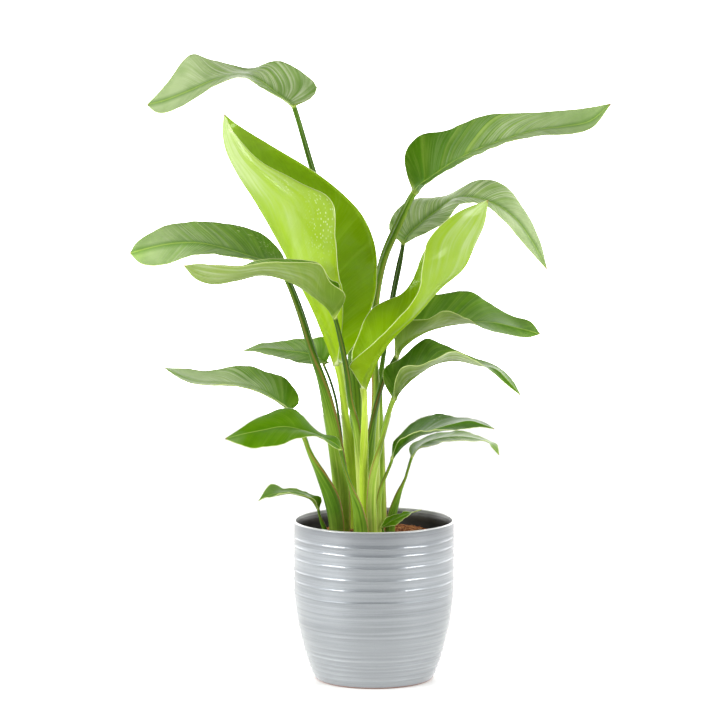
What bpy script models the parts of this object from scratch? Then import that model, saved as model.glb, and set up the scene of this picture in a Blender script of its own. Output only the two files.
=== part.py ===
"""Potted bird of paradise: a glazed cover pot, a nursery pot of coir inside it, and sixteen leaves.

Metres, +Z up, origin at the centre of the cover pot's flat foot. The front of the plant looks to -Y.
Leaf tables are in millimetres, one row for each station from the stalk to the tip.
"""
import math

import bmesh
import bpy
import numpy as np

for old in list(bpy.data.objects):
    bpy.data.objects.remove(old, do_unlink=True)

# Driving sizes
MM = 0.001
GAP = 0.3 * MM

POT_HEIGHT = 191.0 * MM
POT_FOOT_RADIUS = 70.5 * MM
POT_WALL_RADIUS = 95.8 * MM
POT_SWELL_HEIGHT = 120.0 * MM
POT_RIM_FLARE = 1.2 * MM
POT_WALL = 4.5 * MM
POT_FLOOR = 6.0 * MM
RIPPLE_DEPTH = 0.75 * MM
RIPPLE_PITCH = 10.4 * MM
POT_SEGMENTS = 42

NURSERY_FOOT_RADIUS = 60.0 * MM
NURSERY_TOP_RADIUS = 75.0 * MM
NURSERY_HEIGHT = 166.5 * MM
NURSERY_WALL = 1.3 * MM
NURSERY_LIP = 2.0 * MM
NURSERY_SEGMENTS = 40

SOIL_TOP = 175.5 * MM
SOIL_LUMP = 1.3 * MM
SOIL_SEGMENTS = 30
HOLE_CLEARANCE = 0.4 * MM
HOLE_SEGMENTS = 12

BLADE_THICKNESS = 1.0 * MM
TIP_HALF_WIDTH = 0.8 * MM
TIP_THICKNESS = 0.7 * MM
RIB_END = 0.35 * MM
RIB_BLEND = 3.0 * MM
PLEAT = 0.3 * MM
EDGE_WAVE = 1.3 * MM
VEIN_SLANT = 0.07
STALK_SIDES = 10
STALK_STEP = 32.0 * MM
SEED = 16


def unit(v):
    """Vectors of length one."""
    return v / np.maximum(np.linalg.norm(v, axis=-1, keepdims=True), 1e-9)


def smooth(points, where, upright=0):
    """A smooth line through the points; the first so many spans keep straight."""
    step = np.linalg.norm(np.diff(points[:, :3], axis=0), axis=1) ** 0.75
    s = np.concatenate([[0.0], np.cumsum(step)])
    s = s / s[-1]
    slope = np.zeros_like(points)
    slope[0] = (points[1] - points[0]) / (s[1] - s[0])
    slope[-1] = (points[-1] - points[-2]) / (s[-1] - s[-2])
    for i in range(1, len(points) - 1):
        before = (points[i] - points[i - 1]) / (s[i] - s[i - 1])
        after = (points[i + 1] - points[i]) / (s[i + 1] - s[i])
        slope[i] = (before * (s[i + 1] - s[i]) + after * (s[i] - s[i - 1])) / (s[i + 1] - s[i - 1])
    for i in range(upright):
        slope[i + 1] = slope[0]
    i = np.clip(np.searchsorted(s, where, side="right") - 1, 0, len(s) - 2)
    h = (s[i + 1] - s[i])[:, None]
    f = ((where - s[i]) / (s[i + 1] - s[i]))[:, None]
    a = (2 * f ** 3 - 3 * f ** 2 + 1) * points[i] + (f ** 3 - 2 * f ** 2 + f) * h * slope[i]
    b = (3 * f ** 2 - 2 * f ** 3) * points[i + 1] + (f ** 3 - f ** 2) * h * slope[i + 1]
    return a + b


def knots(points):
    """Where the given points lie along the smooth line, from 0 to 1."""
    step = np.linalg.norm(np.diff(points[:, :3], axis=0), axis=1) ** 0.75
    s = np.concatenate([[0.0], np.cumsum(step)])
    return s / s[-1]


def solid(name, points, faces, material, round_sides=True):
    """One closed mesh object with outward faces."""
    mesh = bpy.data.meshes.new(name)
    mesh.from_pydata([tuple(p) for p in points], [], faces)
    mesh.validate()
    bm = bmesh.new()
    bm.from_mesh(mesh)
    bmesh.ops.recalc_face_normals(bm, faces=bm.faces)
    bm.to_mesh(mesh)
    bm.free()
    for face in mesh.polygons:
        face.use_smooth = round_sides
    item = bpy.data.objects.new(name, mesh)
    bpy.context.scene.collection.objects.link(item)
    item.data.materials.append(material)
    return item


def material(name, colour, roughness):
    """A plain surface with its colour and gloss."""
    made = bpy.data.materials.new(name)
    made.use_nodes = True
    shader = made.node_tree.nodes["Principled BSDF"]
    shader.inputs["Base Color"].default_value = (*colour, 1.0)
    shader.inputs["Roughness"].default_value = roughness
    made.diffuse_color = (*colour, 1.0)
    return made


GLAZE = material("grey_glaze", (0.42, 0.44, 0.46), 0.2)
DARK_PLASTIC = material("dark_plastic", (0.03, 0.03, 0.03), 0.5)
COIR = material("coir", (0.2, 0.08, 0.035), 0.95)
LEAF_GREEN = material("leaf_green", (0.09, 0.2, 0.02), 0.4)
YOUNG_GREEN = material("young_green", (0.34, 0.55, 0.07), 0.4)
STALK_GREEN = material("stalk_green", (0.12, 0.26, 0.05), 0.45)
YOUNG_STALK = material("young_stalk", (0.38, 0.55, 0.1), 0.45)


def leaf(name, stalk, blade, belly, rows=16, young=False, face=(0.0, 1.0, 0.0), wave=(2.5, 0.0)):
    """A blade with its rib fused in, and the stalk that carries it.

    stalk: rows of place, half width and half thickness; the first two stand upright in the soil.
    blade: rows of midrib place, then the way from there to the left edge and to the right edge, as
    seen from above with the tip pointing away. belly: how far each half sags between rib and edge.
    """
    collar = np.array(blade[0], float) * MM
    mid = np.array([blade[0]] + [row[0] for row in blade[1:-1]] + [blade[-1]], float) * MM
    ways = np.array([row[1:] for row in blade[1:-1]], float) * MM
    spine = np.array([row[:3] for row in stalk], float) * MM
    reach = stalk[-1][3] * MM
    into = unit(unit(collar - spine[-1]) + unit(mid[1] - collar))
    across = ways[0, 1] - ways[0, 0]
    across = unit(across - (across @ into) * into)
    upper = np.cross(across, into)
    end = ways[-1, 1] - ways[-1, 0]
    end = unit(end)
    left = np.vstack([[-across * reach], ways[:, 0], [-end * TIP_HALF_WIDTH]])
    right = np.vstack([[across * reach], ways[:, 1], [end * TIP_HALF_WIDTH]])
    start = collar + into * GAP / 2

    table = np.concatenate([mid, left, right], axis=1)
    table[0, :3] = start
    where = knots(table)

    def surface(u, v, side):
        """Points of one half: u along the rib, v from the rib to the edge."""
        at = np.clip(u + VEIN_SLANT * v * np.sin(math.pi * u), 0.0, 1.0)
        line = smooth(table, at)
        way = line[:, 3:6] if side < 0 else line[:, 6:9]
        width = np.linalg.norm(way, axis=1)
        along = unit(smooth(table, np.clip(at + 0.01, 0, 1))[:, :3] - smooth(table, np.clip(at - 0.01, 0, 1))[:, :3])
        up = unit(np.cross(side * way, along))
        widest = np.linalg.norm(left if side < 0 else right, axis=1).max()
        sag = belly[0 if side < 0 else 1] * MM * (width / widest) ** 1.5
        lift = -4 * v * (1 - v) * sag
        lift = lift + EDGE_WAVE * v ** 2 * np.sin(2 * math.pi * wave[0] * u + wave[1] + (side > 0)) * width / widest
        return line[:, :3] + way * v[:, None] + up * lift[:, None], width

    u = np.linspace(0.0, 1.0, rows + 1)
    rib = (reach - RIB_END) * (1 - u) ** 1.15 + RIB_END
    _, wide_left = surface(u, np.zeros(rows + 1), -1)
    _, wide_right = surface(u, np.zeros(rows + 1), 1)
    columns = []
    spread = []
    for side, wide in ((-1, wide_left), (1, wide_right)):
        first = np.clip(1.05 * rib / wide, 0.05, 0.5)
        half = [first + (1 - first) * share for share in (0.0, 0.34, 0.68, 1.0)]
        half = half[::-1] if side < 0 else half
        for v in half:
            place, width = surface(u, v, side)
            columns.append(place)
            spread.append(v * width)
        if side < 0:
            place, _ = surface(u, np.zeros(rows + 1), -1)
            columns.append(place)
            spread.append(np.zeros(rows + 1))
    sheet = np.stack(columns, axis=1)
    spread = np.stack(spread, axis=1)
    count = sheet.shape[1]
    normal = unit(np.cross(np.gradient(sheet, axis=1), np.gradient(sheet, axis=0)))
    near = np.clip(1 - spread / RIB_BLEND, 0, 1)[..., None]
    normal = unit(normal * (1 - near) + normal[:, count // 2, None] * near)
    normal[0] = upper
    normal[-1] = normal[-2, count // 2]
    round_rib = np.sqrt(np.clip(1 - (spread / rib[:, None]) ** 2, 0, 1))
    pleat = PLEAT * np.where(np.arange(rows + 1) % 2 == 0, -1.0, 1.0)[:, None] * np.clip(spread / 0.01, 0, 1)
    pleat[0] = 0
    pleat[-2:] = 0
    sheet = sheet + normal * pleat[..., None]
    collar_swell = np.clip(1 - u / 0.1, 0, 1)[:, None]
    half_thick = np.where(np.arange(rows + 1) < rows, BLADE_THICKNESS / 2, TIP_THICKNESS / 2)[:, None]
    top = sheet + normal * (half_thick + 0.55 * rib[:, None] * round_rib * collar_swell)[..., None]
    low = sheet - normal * (half_thick + rib[:, None] * round_rib * 0.9)[..., None]
    points = np.concatenate([top.reshape(-1, 3), low.reshape(-1, 3)])
    under = (rows + 1) * count
    faces = []
    for r in range(rows):
        for c in range(count - 1):
            a = r * count + c
            b = a + count
            if c < count // 2:
                pair = ((a, a + 1, b), (a + 1, b + 1, b))
            else:
                pair = ((a, a + 1, b + 1), (a, b + 1, b))
            for tri in pair:
                faces.append(tri)
                faces.append(tuple(i + under for i in reversed(tri)))
        for c in (0, count - 1):
            a = r * count + c
            faces.append((a, a + count, a + count + under))
            faces.append((a, a + count + under, a + under))
    for r in (0, rows):
        ring = [r * count + c for c in range(count)]
        for a, b in zip(ring, ring[1:]):
            faces.append((a, b, b + under))
            faces.append((a, b + under, a + under))
    solid(name + "_blade", points, faces, YOUNG_GREEN if young else LEAF_GREEN)

    rings = []
    sizes = np.array([(row[3], row[4]) for row in stalk], float) * MM
    stop = collar - into * GAP / 2
    line = np.concatenate([np.vstack([spine, [stop]]), np.vstack([sizes, [sizes[-1]]])], axis=1)
    marks = knots(line)
    length = np.linalg.norm(np.diff(line[:, :3], axis=0), axis=1).sum()
    spans = max(3, int(round(length * (1 - marks[1]) / STALK_STEP)))
    where = np.concatenate([[0.0], np.linspace(marks[1], 1.0, spans + 1)])
    path = smooth(line, where, upright=1)
    tangent = unit(smooth(line, np.clip(where + 0.01, 0, 1), 1)[:, :3] - smooth(line, np.clip(where - 0.01, 0, 1), 1)[:, :3])
    tangent[0] = tangent[1] = (0.0, 0.0, 1.0)
    tangent[-1] = into
    turn = np.clip((where - marks[1]) / (1 - marks[1]), 0, 1)
    turn = (turn * turn * (3 - 2 * turn))[:, None]
    look = unit(np.array(face, float))[None, :] * (1 - turn) + upper[None, :] * turn
    look = unit(look - (look * tangent).sum(axis=1, keepdims=True) * tangent)
    side = np.cross(tangent, look)
    angle = np.arange(STALK_SIDES) * 2 * math.pi / STALK_SIDES
    for centre, s, n, half in zip(path[:, :3], side, look, path[:, 3:]):
        flat = np.where(np.sin(angle) > 0, 0.8, 1.0)
        rings.append(centre + half[0] * np.cos(angle)[:, None] * s + (half[1] * flat * np.sin(angle))[:, None] * n)
    points = np.concatenate(rings)
    faces = []
    for r in range(len(rings) - 1):
        for c in range(STALK_SIDES):
            a = r * STALK_SIDES + c
            b = r * STALK_SIDES + (c + 1) % STALK_SIDES
            faces.append((a, b, b + STALK_SIDES, a + STALK_SIDES))
    faces.append(tuple(reversed(range(STALK_SIDES))))
    faces.append(tuple(range(len(points) - STALK_SIDES, len(points))))
    made = solid(name + "_stalk", points, faces, YOUNG_STALK if young else STALK_GREEN)
    STALK_FEET.append((stalk[0], face))
    return made


STALK_FEET = []

# Rear leaf at the top left, arching over behind the large young leaf
leaf(
    "top_left",
    stalk=[
        (-12, 52, 160, 7, 5), (-12, 52, 181, 7, 5), (-19, 55, 248, 7, 4.8), (-22, 57, 307, 7.6, 4.8),
        (-23, 59, 345, 8, 4.6), (-30, 64, 418, 5.6, 4), (-52, 70, 538, 4.4, 4.2),
        (-73, 74, 603, 4, 3.9), (-92, 75, 668, 3.4, 3.3),
    ],
    blade=[
        (-96, 75, 681),
        ((-103, 79, 687), (-2, -16, 0), (28, 16, 3)),
        ((-117, 82, 696), (-2, -27, -2), (46, 25, 12)),
        ((-135, 84, 710), (0, -35, -5), (23, 31, 25)),
        ((-159, 84, 720), (2, -36, -3), (8, 34, 6)),
        ((-190, 83, 713), (-2, -32, -10), (-4, 34, 22)),
        ((-222, 85, 699), (-7, -22, -17), (-2, 26, 43)),
        ((-254, 89, 687), (-6, -8, -15), (4, 12, 21)),
        (-274, 95, 682),
    ],
    belly=(2, 2),
)

# Large young leaf left of the middle, still folded around its rib
leaf(
    "young_left",
    stalk=[
        (-23, 20, 160, 8.5, 5.5), (-23, 20, 181, 8.5, 5.5), (-27, 20, 235, 8, 5.5),
        (-30, 20, 284, 8.8, 5.6), (-33, 20, 311, 9.2, 5.9), (-35, 19, 336, 8.4, 6),
        (-38, 19, 358, 7.2, 5.8),
    ],
    blade=[
        (-42, 20, 375),
        ((-52, 18, 401), (14, -21, 18), (32, 12, 2)),
        ((-69, 16, 441), (32, -42, 23), (69, 14, 9)),
        ((-87, 13, 476), (47, -54, 9), (91, 14, 8)),
        ((-113, 11, 525), (68, -58, 3), (111, 12, 3)),
        ((-141, 8, 572), (89, -54, 4), (115, 10, -4)),
        ((-162, 6, 604), (72, -39, -7), (93, 7, 0)),
        ((-175, 4, 632), (39, -26, -11), (52, 6, 5)),
        ((-178, 1, 653), (15, -13, -3), (19, 12, 6)),
        (-176, -1, 673),
    ],
    belly=(16, 10),
    rows=20,
    young=True,
)

# Young leaf right of the middle, a funnel that has just opened
leaf(
    "young_right",
    stalk=[
        (-11, -29, 160, 5.4, 4.4), (-11, -29, 181, 5.4, 4.4), (-12, -29, 237, 5.4, 4.6),
        (-12, -29, 288, 6.2, 4.8), (-12, -29, 316, 6, 4.8), (-12, -26, 338, 4.8, 4.5),
    ],
    blade=[
        (-13, -20, 350),
        ((-6, -23, 367), (-20, 14, 14), (-19, -12, 5)),
        ((5, -26, 391), (-24, 24, 19), (-33, -18, -9)),
        ((25, -29, 417), (-26, 32, 28), (-25, -26, -7)),
        ((48, -32, 439), (-15, 35, 23), (-23, -31, -5)),
        ((77, -34, 471), (-27, 33, 16), (-25, -33, -2)),
        ((106, -36, 496), (-46, 28, 18), (-50, -32, 8)),
        ((118, -36, 521), (-40, 20, 14), (-53, -26, 11)),
        ((129, -36, 546), (-27, 16, 12), (-33, -20, 14)),
        (133, -35, 574),
    ],
    belly=(8, 6),
    rows=20,
    young=True,
)

# Drooping leaf at the left, its stalk the leftmost of the tall ones
leaf(
    "left",
    stalk=[
        (-38, -2, 160, 10, 6), (-38, -2, 181, 10, 6), (-39, 1, 226, 10.2, 6), (-45, 5, 274, 9.4, 6),
        (-55, 11, 329, 8.8, 6.2), (-62, 14, 359, 7.6, 6.2), (-73, 18, 392, 6, 6),
        (-88, 20, 440, 5.2, 5.2), (-103, 22, 477, 4.4, 4.4),
    ],
    blade=[
        (-110, 22, 490),
        ((-117, 25, 496), (-2, -14, -4), (9, 20, 5)),
        ((-129, 27, 499), (0, -24, -2), (10, 30, 16)),
        ((-148, 29, 504), (-5, -29, -1), (10, 35, 27)),
        ((-174, 30, 512), (-6, -29, -4), (0, 35, 28)),
        ((-205, 31, 519), (-6, -23, -13), (-7, 33, 23)),
        ((-236, 33, 519), (-4, -15, -22), (-5, 27, 22)),
        ((-265, 35, 514), (-2, -7, -22), (3, 16, 19)),
        ((-283, 39, 509), (1, -2, -13), (-2, 6, 9)),
        (-292, 45, 506),
    ],
    belly=(2, 2),
)

# Folded leaf at the front left, seen from below
leaf(
    "front_left",
    stalk=[
        (-13, -15, 160, 7, 4.6), (-13, -15, 181, 7, 4.6), (-14, -15, 226, 6.4, 4.6),
        (-17, -16, 271, 6, 4.5), (-21, -19, 307, 4.8, 4.2), (-27, -29, 335, 4.1, 4),
        (-31, -45, 372, 4.6, 3.8), (-39, -64, 416, 4.4, 3.5), (-42, -68, 429, 3.4, 3.2),
    ],
    blade=[
        (-45, -70, 440),
        ((-51, -74, 450), (18, -22, 15), (11, 18, 23)),
        ((-65, -80, 463), (15, -24, 19), (14, 24, 20)),
        ((-83, -87, 476), (22, -24, 28), (18, 28, 27)),
        ((-104, -94, 487), (17, -22, 21), (6, 28, 20)),
        ((-129, -101, 492), (8, -20, 15), (-1, 26, 15)),
        ((-158, -109, 486), (3, -16, 17), (5, 24, 16)),
        ((-185, -114, 482), (2, -10, 23), (-1, 16, 21)),
        ((-203, -119, 488), (3, -5, 18), (0, 9, 14)),
        (-217, -123, 504),
    ],
    belly=(5, 4),
)

# Small leaf behind the left stalks
leaf(
    "small_rear",
    stalk=[
        (-30, 32, 160, 4, 3), (-30, 32, 181, 4, 3), (-37, 36, 239, 3, 2.6), (-41, 39, 299, 2.2, 2),
        (-46, 41, 331, 1.9, 1.8), (-54, 43, 357, 1.7, 1.6),
    ],
    blade=[
        (-60, 45, 371),
        ((-63, 50, 376), (10, -12, 0), (14, 13, 18)),
        ((-70, 56, 381), (0, -20, -8), (12, 19, 21)),
        ((-86, 61, 385), (-3, -22, -9), (6, 22, 15)),
        ((-108, 68, 387), (-5, -19, -8), (-1, 21, 9)),
        ((-132, 73, 389), (-3, -11, -5), (-1, 15, 5)),
        (-159, 80, 385),
    ],
    belly=(2, 2),
    rows=10,
)

# Level leaf at the lower left
leaf(
    "lower_left",
    stalk=[
        (-44, -26, 160, 9, 5), (-44, -26, 181, 9, 5), (-50, -22, 218, 9.5, 5), (-62, -18, 246, 7.6, 5),
        (-74, -13, 270, 5, 4.2), (-84, -9, 295, 3.7, 3.4), (-95, -6, 315, 3, 2.8),
    ],
    blade=[
        (-99, -5, 322),
        ((-104, -10, 328), (3, -12, -1), (13, 18, 0)),
        ((-115, -17, 337), (0, -22, 1), (24, 30, 4)),
        ((-132, -25, 349), (-1, -29, 2), (26, 39, 11)),
        ((-154, -34, 357), (-2, -30, 2), (23, 42, 11)),
        ((-181, -43, 360), (-3, -27, 0), (20, 41, 16)),
        ((-207, -51, 363), (-5, -19, 0), (10, 33, 9)),
        ((-227, -58, 371), (-4, -8, -1), (2, 20, 5)),
        (-244, -65, 380),
    ],
    belly=(2, 2),
    rows=14,
)

# Front leaf low on the left
leaf(
    "front_low",
    stalk=[
        (-15, -52, 160, 9, 4.5), (-15, -52, 181, 9, 4.5), (-19, -54, 213, 6.2, 4),
        (-26, -58, 237, 3.6, 3.1), (-33, -60, 259, 3, 2.8), (-37, -59, 275, 2.7, 2.6),
    ],
    blade=[
        (-39, -58, 284),
        ((-46, -63, 291), (-2, -10, -3), (3, 10, 5)),
        ((-61, -72, 300), (-2, -20, 2), (0, 20, 1)),
        ((-83, -81, 309), (-3, -32, -4), (5, 30, 7)),
        ((-105, -90, 314), (-5, -32, -18), (7, 28, 18)),
        ((-129, -99, 311), (-8, -24, -17), (-1, 24, 15)),
        ((-151, -109, 308), (-3, -12, -11), (0, 12, 7)),
        (-171, -119, 304),
    ],
    belly=(-3, -3),
    rows=12,
)

# Lowest leaf at the left, just above the rim
leaf(
    "lowest_left",
    stalk=[
        (-58, -20, 160, 3, 3), (-58, -20, 178, 3, 3), (-62, -20, 192, 2.6, 2.4), (-65, -19, 202, 2, 2),
    ],
    blade=[
        (-66, -18, 207),
        ((-70, -21, 214), (0, -8, 4), (8, 10, 3)),
        ((-78, -26, 223), (-5, -13, 3), (6, 15, 0)),
        ((-92, -31, 229), (-4, -16, 1), (6, 20, -2)),
        ((-110, -37, 229), (-4, -14, -1), (3, 20, 3)),
        ((-125, -44, 226), (-3, -8, -1), (2, 14, 11)),
        (-136, -51, 221),
    ],
    belly=(2, 2),
    rows=10,
)

# Long leaf at the top right
leaf(
    "top_right",
    stalk=[
        (-1, 14, 160, 6.5, 5), (-1, 14, 181, 6.5, 5), (1, 20, 235, 6.2, 5), (1, 24, 295, 5.6, 5),
        (2, 30, 343, 5.2, 4.6), (-1, 36, 414, 5, 4.8), (10, 40, 497, 5.8, 5.8), (29, 42, 542, 5.8, 5.6),
        (43, 44, 571, 4.5, 4.2),
    ],
    blade=[
        (48, 45, 579),
        ((54, 40, 588), (-15, 17, 12), (3, -17, -3)),
        ((69, 32, 599), (-32, 33, 24), (1, -29, -2)),
        ((93, 23, 616), (-37, 42, 31), (3, -38, -1)),
        ((123, 12, 632), (-37, 44, 21), (3, -40, -2)),
        ((158, 1, 645), (-32, 40, 24), (3, -38, -3)),
        ((192, -10, 655), (-20, 32, 19), (4, -30, -5)),
        ((223, -21, 659), (-9, 22, 18), (5, -20, -8)),
        ((252, -33, 666), (-2, 12, 15), (2, -10, -8)),
        (275, -43, 686),
    ],
    belly=(2, 0),
    rows=18,
)

# Rear leaf at the right, arching over and hanging to a point
leaf(
    "rear_right",
    stalk=[
        (9, 38, 160, 6.5, 5), (9, 38, 181, 6.5, 5), (8, 50, 267, 5, 4.4), (7, 57, 346, 4, 3.8),
        (14, 62, 403, 3.9, 3.6), (24, 66, 460, 3.8, 3.7), (31, 69, 494, 3.6, 3.5),
        (34, 71, 509, 2.8, 2.7),
    ],
    blade=[
        (35, 72, 516),
        ((42, 76, 526), (-23, 15, 3), (6, -13, -4)),
        ((57, 82, 540), (-32, 23, 11), (13, -29, -7)),
        ((76, 90, 554), (-25, 28, 14), (10, -34, -9)),
        ((98, 97, 569), (-10, 28, 3), (3, -34, -7)),
        ((123, 102, 569), (4, 25, 21), (-7, -30, -5)),
        ((149, 103, 560), (11, 22, 22), (-9, -25, -2)),
        ((171, 101, 544), (12, 19, 12), (-12, -20, -3)),
        ((192, 99, 516), (9, 12, 4), (-12, -12, -1)),
        (210, 95, 483),
    ],
    belly=(-3, -3),
    rows=18,
)

# Broad leaf at the right, half way up
leaf(
    "right",
    stalk=[
        (-5, -6, 160, 5.5, 4.5), (-5, -6, 181, 5.5, 4.5), (-5, -4, 239, 5.4, 4.4), (-4, 1, 284, 6, 4.3),
        (1, 10, 321, 6, 4), (10, 22, 355, 5, 4.3), (22, 37, 375, 4.1, 3.9),
    ],
    blade=[
        (26, 40, 381),
        ((30, 44, 390), (-5, 17, 20), (-4, -15, 14)),
        ((42, 47, 401), (-11, 32, 24), (-9, -26, 24)),
        ((61, 50, 412), (-12, 42, 34), (-1, -32, 18)),
        ((87, 54, 419), (-5, 46, 34), (-3, -36, 20)),
        ((116, 57, 422), (-3, 45, 33), (-8, -35, 8)),
        ((146, 60, 421), (-5, 40, 21), (-12, -30, -4)),
        ((171, 63, 415), (-4, 27, 12), (-8, -19, -8)),
        ((189, 67, 410), (1, 13, 10), (-3, -7, -7)),
        (201, 73, 406),
    ],
    belly=(3, 4),
)

# Folded leaf at the front right
leaf(
    "front_right",
    stalk=[
        (-2, -40, 160, 6, 4.5), (-2, -40, 181, 6, 4.5), (-3, -40, 220, 5.8, 4.4),
        (-1, -38, 251, 5.2, 4.2), (6, -31, 281, 5.6, 3.8), (14, -20, 311, 5, 3.9),
        (20, -11, 330, 4.2, 3.7),
    ],
    blade=[
        (23, -10, 337),
        ((26, -13, 344), (-12, 14, 6), (-2, -16, 8)),
        ((37, -18, 357), (-25, 27, 13), (-4, -25, 21)),
        ((52, -24, 370), (-19, 39, 14), (2, -29, 13)),
        ((71, -30, 382), (-11, 45, 25), (3, -29, 10)),
        ((95, -38, 387), (-10, 44, 11), (0, -26, 11)),
        ((121, -46, 382), (-5, 35, 5), (-1, -19, 6)),
        ((143, -54, 377), (2, 24, 2), (-4, -10, -3)),
        ((156, -61, 365), (5, 12, 0), (-4, -4, -3)),
        (171, -68, 348),
    ],
    belly=(3, 3),
)

# Low leaf at the right, the front one of a pair
leaf(
    "low_right",
    stalk=[
        (5, -20, 160, 4.5, 3.5), (5, -20, 181, 4.5, 3.5), (8, -25, 232, 2.8, 2.6), (17, -31, 257, 2.4, 2.3),
        (20, -34, 265, 2.2, 2.2),
    ],
    blade=[
        (21, -35, 270),
        ((25, -39, 276), (-3, 13, 9), (1, -13, 10)),
        ((34, -45, 287), (-4, 28, 6), (1, -22, 12)),
        ((48, -53, 297), (-4, 40, 12), (1, -26, 11)),
        ((68, -62, 307), (1, 44, 13), (1, -26, 2)),
        ((91, -71, 315), (1, 43, 3), (2, -21, -4)),
        ((112, -81, 320), (3, 32, -1), (0, -12, -7)),
        ((126, -91, 317), (2, 16, 0), (0, -6, -3)),
        (139, -100, 313),
    ],
    belly=(2, 3),
    rows=12,
)

# Narrow leaf behind it
leaf(
    "low_rear_right",
    stalk=[
        (19, -12, 160, 6, 4), (19, -12, 181, 6, 4), (29, -6, 222, 4, 3), (37, 0, 241, 2.2, 2.1),
        (43, 4, 260, 2, 2),
    ],
    blade=[
        (45, 5, 266),
        ((49, 8, 273), (-7, 15, 0), (5, -13, 5)),
        ((59, 12, 281), (-6, 28, -1), (4, -22, -1)),
        ((76, 14, 287), (-2, 36, 2), (2, -26, -1)),
        ((98, 17, 289), (3, 36, 1), (-1, -24, -3)),
        ((121, 20, 286), (3, 27, 0), (-2, -15, -1)),
        ((138, 23, 280), (8, 13, -2), (-3, -9, 3)),
        ((145, 28, 272), (4, 4, 1), (-4, -3, 2)),
        (150, 33, 264),
    ],
    belly=(2, 2),
    rows=12,
)

# Tiny leaf inside the rim
leaf(
    "sprout",
    stalk=[
        (11, -33, 162, 2.4, 2.4), (11, -33, 178, 2.2, 2.2), (10.5, -32, 183, 1.7, 1.7),
    ],
    blade=[
        (9, -30, 187),
        ((13, -30, 189), (0, 6, 5), (4, -6, -1)),
        ((20, -31, 194), (2, 11, 6), (6, -9, -2)),
        ((30, -32, 199), (5, 10, 4), (5, -8, -2)),
        ((40, -33, 203), (5, 5, 2), (3, -4, 1)),
        (56, -34, 208),
    ],
    belly=(1, 1),
    rows=8,
)


def turned(name, profile, segments, surface, round_sides=True):
    """A closed profile of radius and height turned about the upright axis; ends lie on the axis."""
    points = [(0.0, 0.0, profile[0][1])]
    for radius, height in profile[1:-1]:
        for k in range(segments):
            angle = 2 * math.pi * k / segments
            points.append((radius * math.cos(angle), radius * math.sin(angle), height))
    points.append((0.0, 0.0, profile[-1][1]))
    faces = []
    for k in range(segments):
        faces.append((0, 1 + (k + 1) % segments, 1 + k))
    for r in range(len(profile) - 3):
        for k in range(segments):
            a = 1 + r * segments + k
            b = 1 + r * segments + (k + 1) % segments
            faces.append((a, b, b + segments, a + segments))
    last = 1 + (len(profile) - 3) * segments
    for k in range(segments):
        faces.append((last + k, last + (k + 1) % segments, len(points) - 1))
    return solid(name, points, faces, surface, round_sides)


def pot_radius(height):
    """Outer radius of the cover pot without its ripples: it swells from the foot, then stands upright."""
    rise = max(0.0, 1 - height / POT_SWELL_HEIGHT)
    flare = max(0.0, (height - (POT_HEIGHT - 8 * MM)) / (8 * MM))
    return POT_WALL_RADIUS - (POT_WALL_RADIUS - POT_FOOT_RADIUS) * rise ** 2 + POT_RIM_FLARE * min(flare, 1.0) ** 2


# Cover pot: glazed, hollow, ripples thrown round its outside, a rounded lip and a flat foot
outside = [(0.0, 0.0), (POT_FOOT_RADIUS - 3 * MM, 0.0), (POT_FOOT_RADIUS - 0.8 * MM, 0.8 * MM)]
ripples = int((POT_HEIGHT - 16 * MM) / RIPPLE_PITCH)
for k in range(ripples * 2 + 1):
    height = 4 * MM + k * RIPPLE_PITCH / 2
    height += 1.2 * MM * math.sin(2.3 * k)
    ridge = RIPPLE_DEPTH * (0.5 if k % 2 else -0.5) * (0.8 + 0.35 * math.sin(1.7 * k))
    outside.append((pot_radius(height) + ridge, height))
outside.append((pot_radius(POT_HEIGHT - 8 * MM), POT_HEIGHT - 8 * MM))
outside.append((pot_radius(POT_HEIGHT) - 0.1 * MM, POT_HEIGHT - 1.6 * MM))
outside.append((pot_radius(POT_HEIGHT) - 0.8 * MM, POT_HEIGHT - 0.3 * MM))
outside.append((pot_radius(POT_HEIGHT) - 1.8 * MM, POT_HEIGHT))
outside.append((pot_radius(POT_HEIGHT) - 2.9 * MM, POT_HEIGHT - 0.4 * MM))
outside.append((pot_radius(POT_HEIGHT) - 3.5 * MM, POT_HEIGHT - 1.8 * MM))
for height in (176 * MM, 130 * MM, 90 * MM, 60 * MM, 35 * MM, 18 * MM):
    outside.append((pot_radius(height) - POT_WALL, height))
outside.append((pot_radius(POT_FLOOR) - POT_WALL - 1.5 * MM, POT_FLOOR + 2.5 * MM))
outside.append((pot_radius(POT_FLOOR) - POT_WALL - 5 * MM, POT_FLOOR))
outside.append((0.0, POT_FLOOR))
turned("cover_pot", outside, POT_SEGMENTS, GLAZE)

# Nursery pot: thin dark plastic, standing on the cover pot's floor, with a turned-out lip
floor = POT_FLOOR + GAP
top = floor + NURSERY_HEIGHT
lean = (NURSERY_TOP_RADIUS - NURSERY_FOOT_RADIUS) / NURSERY_HEIGHT
nursery = [
    (0.0, floor),
    (NURSERY_FOOT_RADIUS - 2 * MM, floor),
    (NURSERY_FOOT_RADIUS, floor + 2 * MM),
    (NURSERY_TOP_RADIUS - lean * 8 * MM, top - 8 * MM),
    (NURSERY_TOP_RADIUS + NURSERY_LIP, top - 7 * MM),
    (NURSERY_TOP_RADIUS + NURSERY_LIP, top),
    (NURSERY_TOP_RADIUS - NURSERY_WALL, top),
    (NURSERY_FOOT_RADIUS - NURSERY_WALL, floor + 2.6 * MM),
    (NURSERY_FOOT_RADIUS - NURSERY_WALL - 1.2 * MM, floor + NURSERY_WALL),
    (0.0, floor + NURSERY_WALL),
]
turned("nursery_pot", nursery, NURSERY_SEGMENTS, DARK_PLASTIC)

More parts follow.
